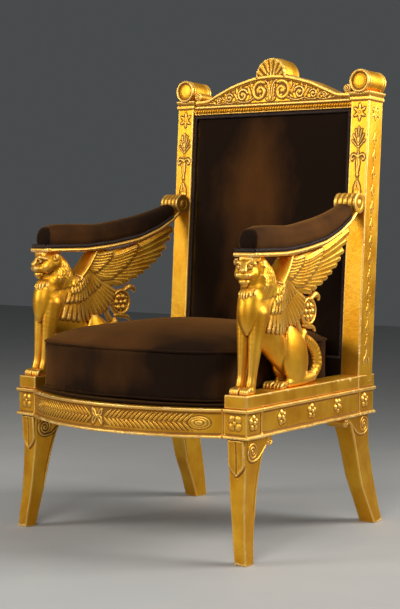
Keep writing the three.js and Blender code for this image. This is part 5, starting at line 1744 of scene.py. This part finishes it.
# %% [markdown]
# Piping is a cord in a bias strip. Geometry Nodes sweeps a small circle along the seam's path.

# %% Piping
PIPING = Tree("piping", Radius=0.0024, Step=0.006)
seam = PIPING.node("GeometryNodeMeshToCurve", {"Mesh": PIPING.entry.outputs["Geometry"]})
seam = PIPING.node("GeometryNodeResampleCurve", {"Curve": seam, "Length": PIPING["Step"]}, mode="LENGTH")
girth = PIPING.node("GeometryNodeCurvePrimitiveCircle", {"Resolution": 8, "Radius": PIPING["Radius"]})
PIPING.finish(PIPING.node("GeometryNodeCurveToMesh", {"Curve": seam, "Profile Curve": girth}), VELVET)


def path_object(name, points, closed=True, **vectors):
    """A chain of edges for a node tree to follow; vectors are stored on its points."""
    count = len(points)
    edges = [(i, (i + 1) % count) for i in range(count if closed else count - 1)]
    piece = linked(small_object(name, points, edges))
    for label, values in vectors.items():
        stored = piece.data.attributes.new(label, "FLOAT_VECTOR", "POINT")
        stored.data.foreach_set("vector", np.asarray(values, np.float32).ravel())
    return piece


def seam_reach(piece, height, angles):
    """How far the made cushion reaches from its middle at a height, in each direction."""
    x, y, z = (points_of(piece) / MM - [0, FRONT_Y, 0]).T
    level = np.abs(z - height) < 4
    x, y = x[level], y[level] - CUSHION_MIDDLE[1]
    turn, far = np.arctan2(x, y), np.hypot(x, y)
    near = np.abs((turn[:, None] - angles + np.pi) % (2 * np.pi) - np.pi) < 0.045
    reach = np.where(near, far[:, None], 0).max(0)
    return (np.roll(reach, 1) + 2 * reach + np.roll(reach, -1)) / 4


for name, height in (("top", TOP_SEAM), ("low", LOW_SEAM)):
    angles = np.linspace(0, 2 * np.pi, 181)[:-1]
    ring = [(reach * math.sin(angle), CUSHION_MIDDLE[1] + reach * math.cos(angle),
             height + 0.7 * math.sin(3 * angle) + 0.4 * math.sin(7 * angle + 1))
            for reach, angle in zip(seam_reach(cushion, height, angles) + 0.2, angles)]
    piping = PIPING.run(path_object("piping_" + name, chair_place(np.array(ring))))
    brushed_and_lit(piping, -0.2)
    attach(piping, "root")

# %% [markdown]
# The upholstered back is one stuffed panel, fuller in the middle. Its outside is covered with a
# flat panel of the same velvet, and the seat frame carries a covered deck under the cushion.

# %% Back pad, outside back and deck
PAD_LOW, PAD_HIGH, PAD_WIDE = 36.0, 656.4, 250.4


def panel(name, across, up, front, back):
    """A closed panel on the back plane; front and back are its depths, numbers or rules of (x, h)."""
    xs, hs = np.meshgrid(across, up, indexing="ij")
    wide, tall = len(across), len(up)
    depths = [depth(xs, hs) if callable(depth) else np.full(xs.shape, depth) for depth in (front, back)]
    faces_of = [np.column_stack([xs.ravel(), depth.ravel(), hs.ravel()]) for depth in depths]
    number = np.arange(wide * tall).reshape(wide, tall)
    quads = np.stack([number[:-1, :-1], number[1:, :-1], number[1:, 1:], number[:-1, 1:]], -1).reshape(-1, 4)
    rim = np.concatenate([number[:-1, 0], number[-1, :-1], number[:0:-1, -1], number[0, :0:-1]])
    after = np.roll(rim, -1)
    total = wide * tall
    sides = np.column_stack([after, rim, rim + total, after + total])
    return mesh_object(name, back_place(np.vstack(faces_of)),
                       np.vstack([quads, quads[:, ::-1] + total, sides]))


def back_face(x, h):
    across, up = np.abs(x) / PAD_WIDE, np.abs(2 * (h - PAD_LOW) / (PAD_HIGH - PAD_LOW) - 1)
    rim = np.clip((1 - across) * 12, 0, 1) * np.clip((1 - up) * 14, 0, 1)
    return 8.6 - 8.0 * (1 - across ** 2.2) * (1 - up ** 4) - 2.0 * rim


def back_keep(points):
    x, y, z = (points - [0, FRONT_Y, 0]).T
    rise, run = z - PLINTH_TOP, y - BACK_Y
    depth = run * math.cos(LEAN) - rise * math.sin(LEAN)
    height = run * math.sin(LEAN) + rise * math.cos(LEAN)
    depth = np.clip(depth, -5.0, 46.8)
    edge = np.minimum(PAD_WIDE - np.abs(x), np.minimum(height - PAD_LOW, PAD_HIGH - height))
    depth = np.where((depth < 20) & (edge < 10), np.maximum(depth, 6.5), depth)
    place = np.column_stack([np.clip(x, -PAD_WIDE, PAD_WIDE), depth, np.clip(height, PAD_LOW, PAD_HIGH)])
    return back_place(place) / MM


back_pad = stuffed(panel(
    "back_velvet", np.linspace(-PAD_WIDE + 1, PAD_WIDE - 1, 61), np.linspace(PAD_LOW + 1, PAD_HIGH - 1, 73),
    lambda x, h: back_face(x, h) + 2.5, 46.5), 0.0065, 0.006, back_keep)


def back_nap(points, normals):
    x, _, z = points.T
    middle = np.exp(-((x + 25 + 0.05 * (z - 700)) / 105) ** 2) * np.clip((1060 - z) / 260, 0.1, 1)
    return 1.15 * middle + 0.22 * waves(points * [1, 1, 0.35], 150, 6) - 0.45


brushed_and_lit(back_pad, back_nap)
finished(back_pad, VELVET, "velvet", "back_pad")

whole_width = np.linspace(-PAD_WIDE, PAD_WIDE, 41)
outside = panel("outside_velvet", whole_width, np.linspace(PAD_LOW, PAD_HIGH, 49), 47.5, lambda x, h: (
    54.9 - 1.6 * np.clip((np.abs(x) - 240) / 10, 0, 1) ** 2 - 0.5 * np.sin(h / 60) ** 2))
brushed_and_lit(outside, lambda p, n: 0.4 * waves(p, 160, 9) - 0.2)
finished(outside, VELVET, "velvet", "outside_back")

# A velvet tuck fills the gap under the back pad, and is kept darker: painted shade behind the cushion
tuck = panel("tuck_velvet", whole_width, np.linspace(-24, PAD_LOW + 2, 9),
             lambda x, h: 3.5 + 1.2 * np.sin(x / 37) * np.cos(h / 19), 9.5)
brushed_and_lit(tuck, -0.7)
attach(tuck, "root")
tuck.data.materials.append(VELVET)

deck = Block((-300, -90, 302), (300, 530, 351), 2.2)
x, y, z = deck.everywhere()
bow = np.hypot(x, y - BOW_CENTRE) - BOW_RADIUS
sides_in = (np.abs(x) - SIDE_X) * math.cos(SIDE_ANGLE) + y * math.sin(SIDE_ANGLE) + BLOCK / 2 + 0.6
reach_in = np.where(z < RAIL_TOP + 0.4, bow + 42.6, bow + 7.5)
deck.field = meet(reach_in, sides_in, y - 525, z - 350, 303.5 - z, round_edge=3.0).astype(np.float32)
piece = skin(deck, "deck_velvet", chair_place, 40000, 0)
# The deck under the cushion is kept darker: painted shade
brushed_and_lit(piece, -0.6)
finished(piece, VELVET, "velvet", "seat_deck")

# %% [markdown]
# ## Gimp
#
# Gimp is a narrow braid glued over the tacks. Two cords zig-zag over a flat ground. One short unit
# is modelled and Geometry Nodes repeats it along each path: every point of the path knows which
# way the braid faces, and the nodes turn each unit to that and to the path.

# %% The braid and its paths
def braid_unit(name, pitch, tall, proud):
    """A piece of ground and two slanted cords over it; the unit faces -Y and runs along X."""
    half, face = pitch * 0.56, -0.9
    ground = [(-half, face), (half, face), (half, 0.6), (-half, 0.6)]
    points = [(x, y, z) for z in (-tall / 2, tall / 2) for x, y in ground]
    of_ground, faces = len(points), tube_faces(2, len(ground))
    turns = np.linspace(0, 2 * math.pi, 7)[:-1]
    for lean, shift, lift in ((0.42, -0.25, 0.0), (-0.42, 0.25, 0.25)):
        faces += tube_faces(5, len(turns), len(points))
        for share in np.linspace(-1, 1, 5):
            thin = math.sqrt(max(1 - share ** 4, 0.1))
            x, y, z = lean * pitch * share + shift * pitch, face - lift * proud, 0.47 * tall * share
            points += [(x + 0.2 * pitch * thin * math.cos(t), y - 0.45 * proud * thin * math.sin(t), z)
                       for t in turns]
    unit = small_object(name, np.array(points) * MM, faces=faces)
    # The gimp paints the ground darker by this value than the cords: painted shade
    relief = unit.data.attributes.new("relief", "FLOAT", "POINT")
    relief.data.foreach_set("value", [-1.0] * of_ground + [1.0] * (len(points) - of_ground))
    return unit


BRAID_UNIT = braid_unit("braid_unit", 5.0, 8.6, 2.4)
BRAID = Tree("braid", Pitch=0.005)
unit = BRAID.group.nodes.new("GeometryNodeObjectInfo")
unit.inputs["Object"].default_value = BRAID_UNIT
run = BRAID.node("GeometryNodeMeshToCurve", {"Mesh": BRAID.entry.outputs["Geometry"]})
spots = BRAID.group.nodes.new("GeometryNodeCurveToPoints")
spots.mode = "LENGTH"
BRAID.group.links.new(run, spots.inputs["Curve"])
BRAID.group.links.new(BRAID["Pitch"], spots.inputs["Length"])
facing = BRAID.node("GeometryNodeInputNamedAttribute", {"Name": "inward"}, data_type="FLOAT_VECTOR")
turned = BRAID.node("FunctionNodeAlignRotationToVector", {"Vector": facing}, axis="Y")
turned = BRAID.node("FunctionNodeAlignRotationToVector",
                    {"Rotation": turned, "Vector": spots.outputs["Tangent"]}, axis="X", pivot_axis="Y")
units = BRAID.node("GeometryNodeInstanceOnPoints", {"Points": spots.outputs["Points"],
                                                    "Instance": unit.outputs["Geometry"], "Rotation": turned})
BRAID.finish(units, GIMP)


def braid_along(name, node, points, inward, closed=False):
    braid = BRAID.run(path_object(name, points, closed, inward=inward))
    brushed_and_lit(braid, 0.0)
    finished(braid, GIMP, "gimp", node)


def arm_braid_path():
    """Along the outer side to the front, across, and back along the inner side."""
    stations = np.concatenate([np.linspace(478, 60, 50), [52, 48.5]])
    outer = [(ARM_CENTRE + 26.5, s, board_top(s) + 5.0) for s in stations]
    front = [(ARM_CENTRE + off, 46.2, board_top(48) + 5.0) for off in np.linspace(24, -24, 12)]
    inner = [(ARM_CENTRE - 26.5, s, board_top(s) + 5.0) for s in stations[::-1]]
    inward = [(-1, 0, 0)] * len(outer) + [(0, 1, 0)] * len(front) + [(1, 0, 0)] * len(inner)
    return np.array(outer + front + inner, float), np.array(inward, float)


for name, side in SIDES:
    run_points, run_inward = arm_braid_path()
    placed = side_place(run_points, side)
    braid_along("arm_braid_" + name, "arm_gimp_" + name, placed,
                (side_place(run_points + run_inward, side) - placed) / MM)

low, high, half = PAD_LOW + 5.5, PAD_HIGH - 5.5, PAD_WIDE - 5.5
corners = [(-half, low), (half, low), (half, high), (-half, high)]
edge = [np.array(a) + (np.array(b) - a) * s for a, b in zip(corners, corners[1:] + corners[:1])
        for s in np.linspace(0, 1, 30, endpoint=False)]
run_points = np.array([(x, 5.4, h) for x, h in edge])
placed = back_place(run_points)
braid_along("back_braid", "back_gimp", placed, (back_place(run_points + [0, 1, 0]) - placed) / MM, True)

# %% [markdown]
# ## What stays plain
#
# Rails and boards that no one sees close to, such as the ones behind the stuffing, keep their CAD
# solids and only take a finish.

# %% Finishes for the plain solids
FINISHES = {"gilding": GILDING, "velvet": VELVET, "gimp": GIMP}
for entry in frame["record"]["subparts"]:
    node = frame["nodes"][entry["node"]]
    node.data.materials.clear()
    node.data.materials.append(FINISHES[entry["material_slot"]])
print("Every CAD node has a finish")

# %% [markdown]
# ## Studio
#
# The camera stands to the chair's right front, at the height of its arms, far enough off that the
# uprights stay upright. Metal shows only what it mirrors, so gold needs broad lights with dark
# between them: a large key from the right front, a softer one from the left front, a narrower one
# from behind on the right and a weak one overhead. The world between them is dim, the floor pale.

# %% Camera, floor and lights
CAMERA_AT = Vector((2.3979, -2.6382 + FRONT_Y * MM, 0.7743))
YAW, PITCH = math.radians(39.43), math.radians(3.43)


def add_camera():
    lens = bpy.data.cameras.new("camera")
    lens.sensor_fit = "VERTICAL"
    lens.sensor_height = 36.0
    lens.lens = 91.6
    camera = bpy.data.objects.new("camera", lens)
    camera.location = CAMERA_AT
    camera.rotation_euler = (math.pi / 2 - PITCH, 0, YAW)
    bpy.context.scene.camera = linked(camera)


def add_floor():
    far, near = 6.0, -5.0
    corners = [(-9, near, 0), (9, near, 0), (9, far, 0), (-9, far, 0)]
    floor = mesh_object("floor", np.array(corners, float), [[0, 1, 2, 3]])
    paint = Finish("floor_paint", Roughness=0.75)
    mottle = paint.steps(paint.noise(3, 3), 0.3, 0.7)
    colour = paint.mix(mottle, tone(0.4, 0.405, 0.4), tone(0.43, 0.435, 0.425))
    floor.data.materials.append(paint.set(Base_Color=colour))


def add_light(name, place, target, size, power, colour=(1, 1, 1), spread=180):
    lamp = bpy.data.lights.new(name, "AREA")
    lamp.shape = "RECTANGLE"
    lamp.size, lamp.size_y = size
    lamp.energy = power
    lamp.color = colour
    lamp.spread = math.radians(spread)
    light = bpy.data.objects.new(name, lamp)
    light.location = place
    light.rotation_euler = (Vector(target) - Vector(place)).to_track_quat("-Z", "Y").to_euler()
    linked(light)


def add_studio():
    world = bpy.data.worlds.new("studio")
    bpy.context.scene.world = world
    world.use_nodes = True
    sky = world.node_tree.nodes["Background"].inputs
    sky["Color"].default_value = tone(0.6, 0.64, 0.66)
    sky["Strength"].default_value = 0.11
    middle = (0, 0, 0.6)
    add_light("key", (1.5, -2.7, 2.5), middle, (1.6, 1.6), 74, (1, 0.96, 0.9))
    add_light("left", (-1.9, -2.7, 1.9), (0, 0, 0.85), (1.3, 1.6), 56, (1, 0.96, 0.92))
    add_light("right", (1.75, 1.0, 1.6), (0.3, 0.1, 1.0), (1.3, 1.1), 26, (1, 0.97, 0.93), 120)
    add_light("above", (0.2, 0.6, 3.0), middle, (2.0, 1.2), 14)


add_camera()
add_floor()
add_studio()
bpy.context.scene.view_settings.view_transform = "Standard"
print("Camera at", [round(value, 3) for value in CAMERA_AT])
